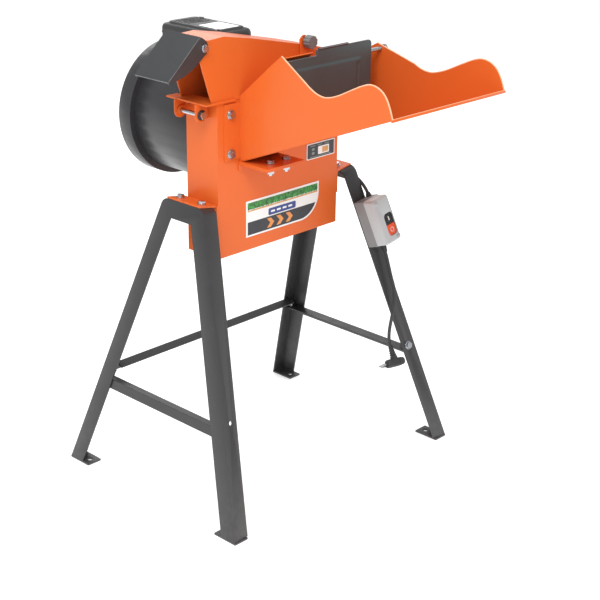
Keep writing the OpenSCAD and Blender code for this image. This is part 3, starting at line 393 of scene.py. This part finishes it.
# ---------------------------------------------------------------- the mains cord comes first
gland_low = sw_pt((-5, -13, -BOX_L / 2 - 4))
PLUG_AT = Vector((221.7, -169.4, 188.0))
PLUG_MID = -9.5   # the middle of the plug body, below the cord's entry
PL, PT = math.radians(-35), math.radians(-15)   # the plug's tilt and turn
plug_up = Vector((-math.sin(PL) * -math.sin(PT), -math.sin(PL) * math.cos(PT), math.cos(PL)))
cord_end = PLUG_AT + 26 * plug_up
hang = Vector((222.5, -158.5, 279))
route = [
    [gland_low, sw_pt((-5, -13, -85)), sw_pt((1, -12, -110)), sw_pt((2.5, -12, -135))],
    [sw_pt((2.5, -12, -135)), sw_pt((4.5, -12, -168)), Vector((228, -158, 298)), hang],
    [hang, Vector((218.5, -158.5, 262)), cord_end + 22 * plug_up, cord_end]]
dense = [bez(s, i / 40) for s in route for i in range(40)] + [cord_end]
pts, cord_len = evenly(dense, 36)
cu = bpy.data.curves.new("mains_cord", "CURVE")
cu.dimensions = "3D"
cu.bevel_depth = 3.5 * MM
cu.bevel_resolution = 5
cu.use_fill_caps = True
sp = cu.splines.new("POLY")
sp.points.add(len(pts) - 1)
for i, p in enumerate(pts):
    sp.points[i].co = (*(p * MM), 1)
sp.use_smooth = True
cord = bpy.data.objects.new("mains_cord", cu)
scene.collection.objects.link(cord)
cu.materials.append(M["rubber"])
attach(cord, "base")
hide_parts("power_cord")


def plug_pt(x, y, z):
    v = Vector((x, y, z))
    v = Matrix.Rotation(PT, 3, "Z") @ Matrix.Rotation(PL, 3, "X") @ v
    return (PLUG_AT + v) * MM


# plug: T-shaped moulded body with a ribbed relief
bm = bmesh.new()
secs = [(-22, 5.5, 6.2), (-21, 7.6, 8.0), (-19, 8.7, 8.9), (-12, 9.0, 9.0), (-4, 9.0, 9.0), (6, 9.0, 8.8),
        (14, 8.4, 8.2), (19, 7.4, 7.4), (21.2, 5.6, 6.0), (22, 3.6, 4.2)]
rings = []
for x, hz, hy in secs:
    ring = []
    for i in range(28):
        a = 2 * math.pi * i / 28
        c, s = math.cos(a), math.sin(a)
        k = (abs(c) ** 3.2 + abs(s) ** 3.2) ** (-1 / 3.2)
        ring.append(bm.verts.new(plug_pt(x, hy * c * k, PLUG_MID + hz * s * k)))
    rings.append(ring)
bridge(bm, rings, True)
rel = [(-3, 8.0)]
z = 0.4
for i in range(5):
    r = 8 - i * 0.7
    rel += [(z, r - 0.9), (z + 0.6, r), (z + 3.0, r), (z + 3.6, r - 0.9), (z + 3.8, 4.9), (z + 4.5, 4.9)]
    z += 4.7
rel += [(26.2, 4.6), (27, 3.9)]
rings = []
for zz, r in rel:
    rings.append([bm.verts.new(plug_pt(r * math.cos(2 * math.pi * j / 24), r * math.sin(2 * math.pi * j / 24), zz))
                  for j in range(24)])
bridge(bm, rings, True)
# finger grips on the flat faces
for sy in (-1, 1):
    for i in range(4):
        x = -8 + i * 5.2
        grip = [plug_pt(x, sy * 8.75, PLUG_MID - 5.5), plug_pt(x, sy * 8.95, PLUG_MID),
                plug_pt(x, sy * 8.75, PLUG_MID + 5.5)]
        tube(bm, grip, 0.75 * MM, 8)
bmesh.ops.recalc_face_normals(bm, faces=bm.faces)
plug = obj_from("mains_plug", bm, M["rubber"], "base", angle=40)
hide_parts("plug_body")

# plug pins with rounded ends and insulated roots
bm = bmesh.new()
root = bmesh.new()
for oz, oy in ((0, -5), (-4, 0), (0, 5)):
    tube(bm, [plug_pt(x, oy, PLUG_MID + oz) for x in (-38.9, -38.4, -37.4, -30, -22)],
         [0.9 * MM, 1.6 * MM, 2.0 * MM, 2.0 * MM, 2.0 * MM], 16)
    tube(root, [plug_pt(x, oy, PLUG_MID + oz) for x in (-27.6, -27.4, -21.6)], [1.9 * MM, 2.12 * MM, 2.12 * MM], 16)
pins = obj_from("mains_pins", bm, M["steel"], "base")
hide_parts("plug_pins")
obj_from("pin_sleeves", root, M["rubber"], "base")

# tapered relief under the switch
bm = bmesh.new()
prof = [(0, 8.4), (3.2, 8.5), (4.0, 7.7), (4.1, 6.4)]
for i in range(5):
    h = 4.6 + i * 3.4
    r = 6.3 - i * 0.36
    prof += [(h, r), (h + 2.2, r - 0.1), (h + 2.4, r - 0.9), (h + 3.2, r - 1.0)]
prof += [(21.8, 4.3)]
revolve(bm, prof, lambda x, y, h: sw_pt((-5 + x, -13 + y, -BOX_L / 2 - 0.1 - h)) * MM)
relief = obj_from("cord_relief", bm, M["rubber"], "base")
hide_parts("cord_gland")

# ---------------------------------------------------------------- CAD nodes that stay: finish and softened edges
paint("frame", "left_front_leg", "left_rear_leg", "left_top_rail", "left_crossbar", "right_front_leg",
      "right_rear_leg", "right_top_rail", "right_crossbar", "rear_brace", "foot_plates")
paint("zinc", "stand_bolts", "hinge_pin", "tray_bolts", "flap_rod", "motor_bolts", "terminal_screws",
      "knife_bolts", "deflector_bolts")
paint("orange", "left_bracket", "right_bracket", "housing_shell", "feed_tray", "tray_shelf", "lid_shell")
paint("plastic", "lead_clips", "lead_glands", "hinge_washers", "terminal_box", "capacitor", "cooling_fan")
paint("black", "deflector", "safety_flap", "cutter_disc")
paint("steel", "scroll_sieve", "counter_knife", "bearings", "rotor_shaft", "rotor_core", "switch_screws")
paint("blade", "knives")
paint("motor", "motor_front_shield", "motor_shell", "motor_rear_cover")
paint("copper", "stator")
paint("rubber", "motor_lead")
paint("grey", "switch_base", "contact_block")
paint("light", "switch_cover")
paint("white", "front_label", "side_label")
paint("knob", "clamp_knob")
paint("start", "start_button")
paint("stop", "stop_button")
JOINT_DROP, JOINT_TOL = 46.0, 0.12   # the legs meet the bent rail this far down the frame, in mm
for name in ("left", "right"):
    parts = [name + "_front_leg", name + "_rear_leg", name + "_top_rail"]
    bm = bmesh.new()
    for n in parts:
        bm.from_mesh(N[n].data)
    bmesh.ops.remove_doubles(bm, verts=bm.verts, dist=1e-6)
    cl, sl = math.cos(LEAN), math.sin(LEAN)

    def along(v):
        """height up the leaning frame, from the rail, in mm"""
        x = (v.x if name == "left" else -v.x) * 1000 + RAIL_X
        return x * sl + (v.z * 1000 - STAND_H) * cl
    cut = [f for f in bm.faces if all(abs(along(v.co) + JOINT_DROP) < JOINT_TOL for v in f.verts)]
    bmesh.ops.delete(bm, geom=cut, context="FACES")
    seam = [v for v in bm.verts if abs(along(v.co) + JOINT_DROP) < JOINT_TOL]
    bmesh.ops.remove_doubles(bm, verts=seam, dist=JOINT_TOL * MM)
    bmesh.ops.dissolve_limit(bm, angle_limit=math.radians(0.6), verts=bm.verts, edges=bm.edges)
    o = obj_from("stand_frame_" + name, bm, M["frame"], "base", smooth=False)
    b = o.modifiers.new("edges", "BEVEL")
    b.width = 1.6 * MM
    b.segments = 3
    b.limit_method = "ANGLE"
    b.angle_limit = math.radians(32)
    b.harden_normals = True
    for f in o.data.polygons:
        f.use_smooth = True
    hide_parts(*parts)
for n in ("left_crossbar", "right_crossbar", "rear_brace", "foot_plates"):
    edges(n, 0.8)
for n in ("left_bracket", "right_bracket", "tray_shelf", "housing_shell"):
    edges(n, 0.9)
for n in ("lid_shell", "feed_tray", "deflector", "motor_shell", "switch_base", "lead_clips"):
    edges(n, 0.8)
for n in ("stand_bolts", "tray_bolts", "motor_bolts", "hinge_pin", "deflector_bolts", "flap_rod", "lead_glands",
          "terminal_screws", "switch_screws"):
    edges(n, 0.45)
for n in ("motor_rear_cover", "motor_front_shield"):
    edges(n, 1.2)
edges("clamp_knob", 1.0, 3)
edges("start_button", 1.4, 4)
edges("stop_button", 1.4, 4)

# ---------------------------------------------------------------- switch cover with rounded corners
BTN_X, BTN_Z, BTN_PITCH, WIN_W, WIN_L = -6.2, -11.0, 12.0, 26.0, 47.0


def at_sw(x, y, z):
    return sw_pt((x, y, z)) * MM


def ring_of(bm, w, l, r, y, cx=0.0, cz=0.0, k=7):
    return [bm.verts.new(at_sw(cx + x, y, cz + z)) for x, z in rounded(-w / 2, -l / 2, w / 2, l / 2, r, k)]


bm = bmesh.new()
Y0 = -BASE_D - 0.1   # where base and cover meet
YF = Y0 - COVER_D    # the front face
fillet = 5.0
rings = [ring_of(bm, BOX_W - 5, BOX_L - 5, 3.0, Y0), ring_of(bm, BOX_W, BOX_L, 4.2, Y0),
         ring_of(bm, BOX_W, BOX_L, 4.2, Y0 - 1.0), ring_of(bm, BOX_W - 0.8, BOX_L - 0.8, 4.2, Y0 - 1.4)]
for i in range(7):
    a = math.radians(90 * i / 6)
    ins = 0.4 + fillet * (1 - math.cos(a))
    rings.append(ring_of(bm, BOX_W - 2 * ins, BOX_L - 2 * ins, max(1.4, 6.4 - ins * 0.7),
                         YF + fillet - fillet * math.sin(a)))
rings.append(ring_of(bm, WIN_W + 1.6, WIN_L + 1.6, 8.8, YF, BTN_X, BTN_Z))
rings.append(ring_of(bm, WIN_W + 0.5, WIN_L + 0.5, 8.3, YF + 0.35, BTN_X, BTN_Z))
rings.append(ring_of(bm, WIN_W, WIN_L, 8.0, YF + 1.1, BTN_X, BTN_Z))
rings.append(ring_of(bm, WIN_W, WIN_L, 8.0, YF + 5.0, BTN_X, BTN_Z))
bridge(bm, rings)
cover = obj_from("switch_cover_shell", bm, M["light"], "base", angle=50)
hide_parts("switch_cover")
# dark chamber behind the buttons
bm = bmesh.new()
rings = [ring_of(bm, WIN_W + 0.4, WIN_L + 0.4, 8.0, y, BTN_X, BTN_Z) for y in (YF + 4.9, YF + 11.6)]
bridge(bm, rings)
bm.faces.new(rings[-1])
bmesh.ops.recalc_face_normals(bm, faces=bm.faces)
obj_from("button_chamber", bm, M["plastic"], "base")
# screws sunk in the cover: a bored ring round each head
for s in (-1, 1):
    bm = bmesh.new()
    revolve(bm, [(-0.2, 5.6), (0.5, 5.3), (0.55, 4.6), (-0.15, 4.3)],
            lambda x, y, h: at_sw(s * 16 + x, YF - h, s * 41 + y), 28, False)
    obj_from("cover_boss_%d" % (s + 1), bm, M["light"], "base")
    bm = bmesh.new()
    revolve(bm, [(0.0, 4.2), (0.35, 4.1), (0.75, 3.1), (0.8, 0.5)],
            lambda x, y, h: at_sw(s * 16 + x, YF - h + 0.1, s * 41 + y), 24)
    tube(bm, [at_sw(s * 16 - 3, YF - 0.78, s * 41 - 1), at_sw(s * 16 + 3, YF - 0.78, s * 41 + 1)], 0.35 * MM, 6)
    o = obj_from("cover_screw_%d" % (s + 1), bm, M["steel"], "base")
    if s == 1:
        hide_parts("switch_screws")
# a fine parting groove with a seal between base and cover
bm = bmesh.new()
bridge(bm, [ring_of(bm, BOX_W - 1.2, BOX_L - 1.2, 3.6, y) for y in (Y0 + 0.7, Y0 - 0.8)])
obj_from("cover_seal", bm, M["rubber"], "base")
# raised marks on the buttons: a bar on start, a ring on stop
for body, sgn in (("start_button", 1), ("stop_button", -1)):
    bm = bmesh.new()
    cz = BTN_Z + sgn * BTN_PITCH
    yb = YF + 1.95
    if sgn == 1:
        plate(bm, rounded(-1.3, -4.6, 1.3, 4.6, 1.2, 4), 0.35,
              lambda x, y, z: at_sw(BTN_X + x, yb - z, cz + y), 0.1)
    else:
        loop = [at_sw(BTN_X + 4.4 * math.cos(a * math.pi / 14), yb - 0.1, cz + 4.4 * math.sin(a * math.pi / 14))
                for a in range(29)]
        tube(bm, loop, 0.55 * MM, 8, ends=False)
    obj_from(body + "_mark", bm, M["white"], body)

# ---------------------------------------------------------------- terminal box
TB = (-74.0, 24.0, 48.0, 214.0)   # x and y limits
bm = bmesh.new()


def tb_ring(ins, z, r):
    """a ring of the terminal box at height z, drawn in by ins from its full outline"""
    outline = rounded(TB[0] + ins, TB[2] + ins, TB[1] - ins, TB[3] - ins, r, 8)
    return [bm.verts.new(at(x, y, z)) for x, y in outline]


rings = [tb_ring(*step) for step in (
    (1.2, 800, 15), (0.6, 846, 15.5), (0.1, 856, 16), (0.0, 857, 16), (0.0, 862, 16), (0.4, 866, 16),
    (1.6, 869.4, 15), (3.6, 871.6, 14), (6.4, 872.6, 13), (10.5, 872.8, 11), (11.4, 873.4, 11), (12.2, 875.6, 10), (13.4, 876.5, 10),
    (15.5, 876.8, 9))]
bridge(bm, rings)
bm.faces.new(rings[-1])
bmesh.ops.recalc_face_normals(bm, faces=bm.faces)
tb = obj_from("terminal_housing", bm, M["plastic"], "base", angle=60)
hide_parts("terminal_box")
bm = bmesh.new()
loop = [at(x, y, 856.2) for x, y in rounded(TB[0] - 0.1, TB[2] - 0.1, TB[1] + 0.1, TB[3] + 0.1, 16, 8)]
tube(bm, loop + loop[:1], 0.9 * MM, 8, Vector((0, 0, 1)), ends=False)
obj_from("terminal_seam", bm, M["rubber"], "base")
bm = bmesh.new()
plate(bm, rounded(-52, 66, 2, 124, 3), 0.5, lambda x, y, z: at(x, y, 876.75 + z), 0.15)
obj_from("terminal_sticker", bm, M["white"], "base")
bm = bmesh.new()
for i in range(3):
    y = 80 + i * 12
    plate(bm, rounded(-46 + i * 3, y, -12 - i * 6, y + 3, 1, 3), 0.14,
          lambda x, yy, z: at(x, yy, 877.2 + z))
obj_from("terminal_sticker_bars", bm, M["print_grey"], "base")
# moulded ribs toward the rear of the lid
bm = bmesh.new()
for i in range(5):
    y = 150 + i * 9
    tube(bm, [at(x, y + 2.2 * math.sin(x * 0.12), 876.6) for x in range(-56, 8, 4)], 1.1 * MM, 8,
         Vector((0, 1, 0.2)))
obj_from("terminal_ribs", bm, M["plastic"], "base")

# ---------------------------------------------------------------- front labels, graphics only
FRONT = -47.9


def film(name, outline, mat_n, lift=0.06):
    bm = bmesh.new()
    plate(bm, outline, 0.05, lambda x, z, y: at(x, FRONT - lift - y + 0.02, z))
    return obj_from(name, bm, M[mat_n], "base", smooth=False)


def corner_cut(x0, z0, x1, z1, r, cut_top=None):
    """a rectangle whose lower right corner follows the label's big radius"""
    out = [(x0, z0)]
    cx, cz = x1 - r, z0 + r
    arc = []
    for i in range(17):
        a = math.radians(-90 + 90 * i / 16)
        x, z = cx + r * math.cos(a), cz + r * math.sin(a)
        if cut_top is None or z <= cut_top:
            arc.append((x, z))
    out += arc
    if cut_top is None:
        out.append((x1, z1))
    else:
        out.append((cx + math.sqrt(max(0, r * r - (cz - cut_top) ** 2)), cut_top))
        z1 = cut_top
    out.append((x0, z1))
    return out


film("label_face", corner_cut(-89.5, 502.5, 107.5, 569.5, 48), "white", 0.03)
film("label_grass", [(-88, 555.0), (106, 555.0), (106, 568.0), (-88, 568.0)], "print_green", 0.09)
# ragged grass tips under the strip
bm = bmesh.new()
rnd = random.Random(7)
x = -88.0
while x < 103.5:
    h = rnd.uniform(1.2, 4.2)
    wdt = rnd.uniform(1.4, 3.0)
    plate(bm, [(x, 556), (x + wdt * 0.5, 555.2 - h), (x + wdt, 556)], 0.05,
          lambda a, z, y: at(a, FRONT - 0.09 - y, z))
    x += wdt * 0.8
obj_from("label_blades", bm, M["print_green"], "base", smooth=False)
film("label_tan_line", [(-88, 550.2), (106, 550.2), (106, 553.0), (-88, 553.0)], "print_tan", 0.07)
film("label_blue_block", rounded(-32, 531.5, 44, 545.5, 3.0), "print_blue", 0.09)
for i in range(4):
    film("label_blue_mark_%d" % i, rounded(-25 + i * 16, 536.6, -14 + i * 16, 540.4, 1.2), "white", 0.13)
film("label_band", corner_cut(-88, 503.5, 106, 530, 47, 529.5), "print_dark", 0.07)
for i, a in enumerate((-36, -10, 16)):
    film("label_chevron_%d" % i, [(a, 507), (a + 11, 507), (a + 20, 516.4), (a + 11, 526), (a, 526), (a + 9, 516.4)],
         "print_amber", 0.11)
# small data label
film("small_face", rounded(75.8, 621.8, 152.2, 650.2, 1.5), "print_dark", 0.05)
film("small_window", rounded(106, 627, 138, 643, 1.5), "white", 0.10)
film("small_window_mark", rounded(118, 629.5, 135, 640.5, 1.0), "print_tan", 0.13)
for i in range(2):
    film("small_mark_%d" % i, rounded(88, 629 + i * 8, 96, 634 + i * 8, 2.2), "print_grey", 0.10)
for i in range(3):
    x = 84 + i * 20
    film("small_line_%d" % i, [(x, 645.6), (x + 14, 645.6), (x + 14, 647.2), (x, 647.2)], "print_grey", 0.10)
film("small_foot", [(84, 623.6), (144, 623.6), (144, 624.9), (84, 624.9)], "print_grey", 0.10)

# ---------------------------------------------------------------- tray hems: rolled rims in pale orange, a painted highlight along the wall tops and the lip
THROAT_X0, THROAT_X1, NECK_Y, LIP_Y, LIP_Z, FLARE, TRAY_T = -108.0, 163.0, -78.0, -428.0, 808.0, 3.3, 2.0
WALL_TOP = [(-229, 827), (-244, 820), (-259, 816.5), (-275, 817), (-300, 825), (-335, 842), (-358, 852.5),
            (-376, 857.5), (-393, 855), (-408, 846), (-419, 830), (LIP_Y, LIP_Z)]


def blend(a, b, c, d, t):
    """a smooth curve from b to c, with a and d on either side"""
    return 0.5 * (2 * b + t * (c - a) + t * t * (2 * a - 5 * b + 4 * c - d) + t * t * t * (3 * b - a - 3 * c + d))


def smooth_run(P, n):
    out = []
    for i in range(len(P) - 1):
        a, b, c, d = P[max(i - 1, 0)], P[i], P[i + 1], P[min(i + 2, len(P) - 1)]
        for k in range(n):
            out.append((blend(a[0], b[0], c[0], d[0], k / n), blend(a[1], b[1], c[1], d[1], k / n)))
    return out


bm = bmesh.new()
for x0, dirn, peak, knee in ((THROAT_X0, 1, (-158, 869.5), (-130, 847.6)), (THROAT_X1, -1, (-142, 854), (-128, 846))):
    prof = [peak] + smooth_run(WALL_TOP, 5) + [(LIP_Y, LIP_Z)]
    run = []
    for y, z in prof:
        x = x0 - dirn * max(0.0, (NECK_Y - y)) * math.tan(math.radians(FLARE)) + dirn * TRAY_T / 2
        run.append(at(x, y, z - 0.5))
    fine, _ = evenly(run, 90)
    tube(bm, fine, 1.35 * MM, 10, Vector((1, 0, 0)))
out_x = (NECK_Y - LIP_Y) * math.tan(math.radians(FLARE))
lip = [at(THROAT_X0 - out_x + (THROAT_X1 - THROAT_X0 + 2 * out_x) * i / 20, LIP_Y + 0.6, LIP_Z - 1.4)
       for i in range(21)]
tube(bm, lip, 1.9 * MM, 12, Vector((0, 1, 0)))
obj_from("tray_hems", bm, M["edge"], "base")

# ---------------------------------------------------------------- pressed safety flap
FX0, FX1, FZ0, FZ1, FLY, HOOD_CUT = -101.0, 128.0, 716.0, 868.0, -158.5, -26.0
LEFT_TOP = 858.0


def smoothstep(a, b, x):
    t = min(1.0, max(0.0, (x - a) / (b - a)))
    return t * t * (3 - 2 * t)


def flap_relief(x, z):
    """how far the sheet stands out of its flat face, in mm"""
    inx = smoothstep(-86, -82, x) * (1 - smoothstep(96, 100, x))
    inz = smoothstep(722, 726, z) * (1 - smoothstep(836, 840, z))
    panel = 1.3 * inx * inz
    groove = math.exp(-((x - 91) / 2.6) ** 2) * smoothstep(728, 732, z) * (1 - smoothstep(828, 832, z))
    return panel - 2.4 * groove


bm = bmesh.new()
xs = sorted(set([FX0 + (FX1 - FX0) * i / 96 for i in range(97)] + [HOOD_CUT + 4, HOOD_CUT + 10]))
zs = sorted(set([FZ0 + (FZ1 - FZ0) * i / 70 for i in range(71)] + [LEFT_TOP]))
grid = {}


def flap_in(x, z):
    return z <= LEFT_TOP + 0.01 or x >= HOOD_CUT + 4 - 0.01


def flap_v(i, j, back):
    key = (i, j, back)
    if key not in grid:
        x, z = xs[i], zs[j]
        # rounded upper right corner
        dx, dz = x - (FX1 - 9), z - (FZ1 - 9)
        if dx > 0 and dz > 0:
            m, h = max(dx, dz), math.hypot(dx, dz)
            x, z = FX1 - 9 + dx * m / h, FZ1 - 9 + dz * m / h
        y = FLY - flap_relief(xs[i], zs[j]) + (2.4 if back else 0)
        grid[key] = bm.verts.new(at(x, y, z))
    return grid[key]


cells = [(i, j) for i in range(len(xs) - 1) for j in range(len(zs) - 1)
         if flap_in((xs[i] + xs[i + 1]) / 2, (zs[j] + zs[j + 1]) / 2)]
have = set(cells)
for i, j in cells:
    for back in (0, 1):
        q = [flap_v(i, j, back), flap_v(i + 1, j, back), flap_v(i + 1, j + 1, back), flap_v(i, j + 1, back)]
        bm.faces.new(q if not back else q[::-1])
    for di, dj, a, b in ((-1, 0, (0, 0), (0, 1)), (1, 0, (1, 0), (1, 1)), (0, -1, (0, 0), (1, 0)),
                         (0, 1, (0, 1), (1, 1))):
        if (i + di, j + dj) not in have:
            va, vb = (i + a[0], j + a[1]), (i + b[0], j + b[1])
            bm.faces.new((flap_v(*va, 0), flap_v(*vb, 0), flap_v(*vb, 1), flap_v(*va, 1)))
bmesh.ops.recalc_face_normals(bm, faces=bm.faces)
# rolled knuckle round the rod, then the bent strip on the top edge
tube(bm, [at(x, -150, 844) for x in (-101, 128)], 6.4 * MM, 28, Vector((0, 1, 0)))
flap = obj_from("flap_plate", bm, M["flap"], "flap", angle=50)
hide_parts("safety_flap")
bm = bmesh.new()
strip = [at(x, -157.2, 868.6) for x in (-18, -17, 62, 64)]
tube(bm, strip, [1.2 * MM, 2.3 * MM, 2.3 * MM, 1.2 * MM], 14, Vector((0, 1, 0)))
obj_from("flap_strip", bm, M["black"], "flap")
# a thin bright zinc tube along the strip's top edge: a painted highlight line
bm = bmesh.new()
tube(bm, [at(x, -159.1, 869.3) for x in (-16, 61)], 0.55 * MM, 8, Vector((0, 1, 0)))
obj_from("flap_strip_edge", bm, M["zinc"], "flap")
# a light grey tube along the flap's top edge: a painted highlight
bm = bmesh.new()
rim = ((-99, 857.2), (-22.4, 857.2), (-21.8, 858), (-21.4, 867.6), (118, 867.6))
tube(bm, [at(x, -158.6, z) for x, z in rim], 0.5 * MM, 8, Vector((0, 1, 0)))
obj_from("flap_edge", bm, M["edge_highlight_grey"], "flap")

# ---------------------------------------------------------------- welds, washers and small hardware
CROSSBAR_Z, MOTOR_Z, RIM_R, REAR_Y = 198.0, 690.0, 122.0, 269.0


def bead(name, a, b, r, mat_n, seed, body="base"):
    """an uneven bead from a to b, given in mm"""
    bm = bmesh.new()
    n = max(8, int((b - a).length / 1.6))
    rnd = random.Random(seed)
    pts, rad = [], []
    for i in range(n + 1):
        t = i / n
        pts.append(a.lerp(b, t) * MM)
        ripple = 0.82 + 0.22 * abs(math.sin(i * 1.35)) + rnd.uniform(-0.05, 0.05)
        start = 0.55 + 0.45 * math.sin(math.pi * (t * 6 if t < 0.166 else 1) / 2)
        rad.append(r * ripple * start * MM)
    tube(bm, pts, rad, 8)
    return obj_from(name, bm, M[mat_n], body)


for k, lft in enumerate((True, False)):
    d0 = (STAND_H - CROSSBAR_Z) / math.cos(LEAN)
    for j, sy in enumerate((-1, 1)):
        y = sy * (RAIL_Y + d0 * math.tan(SPLAY) - 3.6)
        bead("bar_weld_%d_%d" % (k, j), frame_pt((3.2, y, -d0 - 1), lft),
             frame_pt((3.2, y + sy * 6, -d0 - 19), lft), 1.7, "weld", 10 + k * 2 + j)
        bead("bar_weld_top_%d_%d" % (k, j), frame_pt((4.5, y + sy * 0.2, -d0 - 0.2), lft),
             frame_pt((21, y + sy * 0.2, -d0 - 0.2), lft), 1.5, "weld", 20 + k * 2 + j)
for k, sx in enumerate((-1, 1)):
    for j, sy in enumerate((-1, 1)):
        bead("foot_weld_%d_%d" % (k, j), Vector((sx * 311.6, sy * 210, 4.4)),
             Vector((sx * 311.6, sy * 241, 4.4)), 1.6, "weld", 30 + k * 2 + j)
        bead("foot_weld_in_%d_%d" % (k, j), Vector((sx * 283, sy * 240.6, 4.4)),
             Vector((sx * 308, sy * 240.6, 4.4)), 1.6, "weld", 40 + k * 2 + j)
    bead("bracket_weld_%d" % k, Vector((sx * 167.6, -46, 579.6)), Vector((sx * 167.6, 36, 579.6)), 1.8, "orange",
         50 + k)
for name, a, b, r, seed in (("shelf_weld", (-111, -50.4, 649.2), (-15, -50.4, 649.2), 1.4, 60),
                            ("lug_weld_a", (-164.6, -19.8, 744), (-164.6, -19.8, 760), 1.3, 61),
                            ("lug_weld_b", (-164.6, 26.2, 744), (-164.6, 26.2, 760), 1.3, 62)):
    bead(name, Vector(a), Vector(b), r, "orange", seed)
# folded edge of the deflector, with a light grey tube along it as a painted highlight
bm = bmesh.new()
fold = ((-203.5, 897.6), (-206.4, 898.4), (-230, 877), (-256, 853), (-281, 830.6))
for y in (-49.2, 39.2):
    tube(bm, [at(x, y, z) for x, z in fold], 0.9 * MM, 10, Vector((0, 1, 0)))
tube(bm, [at(-281.2, y, 829.8) for y in (-48.8, -10, 38.8)], 1.0 * MM, 10, Vector((0, 0, 1)))
obj_from("deflector_edges", bm, M["edge_highlight_grey"], "deflector")
# plain washers under the flange bolts on the housing front
bm = bmesh.new()
for zb in (674, 748):
    revolve(bm, [(0.0, 9.6), (0.9, 9.6), (1.2, 9.3), (1.2, 8.2)],
            lambda x, y, h: at(-132 + x, -49.7 - h, zb + y), 32)
obj_from("front_washers", bm, M["zinc"], "base")
# ring of cover screws round the motor's rear rim
bm = bmesh.new()
for i in range(6):
    a = math.radians(30 + 60 * i)
    cx, cz = RIM_R * math.cos(a), RIM_R * math.sin(a)
    revolve(bm, [(0.0, 5.0), (1.4, 4.8), (2.4, 3.4), (2.5, 0.4)],
            lambda x, y, h: at(cx + x, min(REAR_Y, 266.6 + h), MOTOR_Z + cz + y), 20)
obj_from("rim_screws", bm, M["zinc"], "base")

# ---------------------------------------------------------------- floor and light
bm = bmesh.new()
bmesh.ops.create_grid(bm, x_segments=8, y_segments=8, size=30.0)
me = bpy.data.meshes.new("floor")
bm.to_mesh(me)
bm.free()
floor = bpy.data.objects.new("floor", me)
scene.collection.objects.link(floor)
floor.location = (0, 0, -0.0005)
fm = material("pale_floor", (0.93, 0.93, 0.93), (0.7, 0.8), mottle=2.0, spread=0.01, peel=(60.0, 0.01))
fb = fm.node_tree.nodes["Principled BSDF"]
fb.inputs["Emission Color"].default_value = (1, 1, 1, 1)
fb.inputs["Emission Strength"].default_value = 0.42
me.materials.append(fm)


def area(name, loc, target, size, power):
    """a soft rectangular light at loc, facing target"""
    l = bpy.data.lights.new(name, "AREA")
    l.shape = "RECTANGLE"
    l.size, l.size_y = size
    l.energy = power
    o = bpy.data.objects.new(name, l)
    scene.collection.objects.link(o)
    o.location = loc
    d = Vector(target) - Vector(loc)
    o.rotation_euler = d.to_track_quat("-Z", "Y").to_euler()


LIGHTS = (
    ("key", (-0.9, -3.4, 2.9), (0, 0, 0.6), (2.6, 2.2), 6),
    ("side", (-3.6, -0.6, 1.9), (0, 0, 0.6), (2.2, 2.2), 10),
    ("upper_left", (-2.0, -1.6, 3.5), (0.1, -0.2, 0.7), (1.8, 1.8), 90),
    ("top", (0.1, 0.4, 3.6), (0, 0, 0.5), (3.0, 3.0), 36),
    ("rear", (1.6, 3.0, 2.2), (0, 0, 0.6), (2.4, 2.0), 26),
    ("far_side", (3.4, -0.4, 1.8), (0, 0, 0.6), (2.2, 2.2), 16))
for light in LIGHTS:
    area(*light)
w = bpy.data.worlds.new("studio")
scene.world = w
w.use_nodes = True
w.node_tree.nodes["Background"].inputs["Color"].default_value = (1, 1, 1, 1)
w.node_tree.nodes["Background"].inputs["Strength"].default_value = 0.58
scene.view_settings.view_transform = "Standard"
scene.view_settings.look = "None"
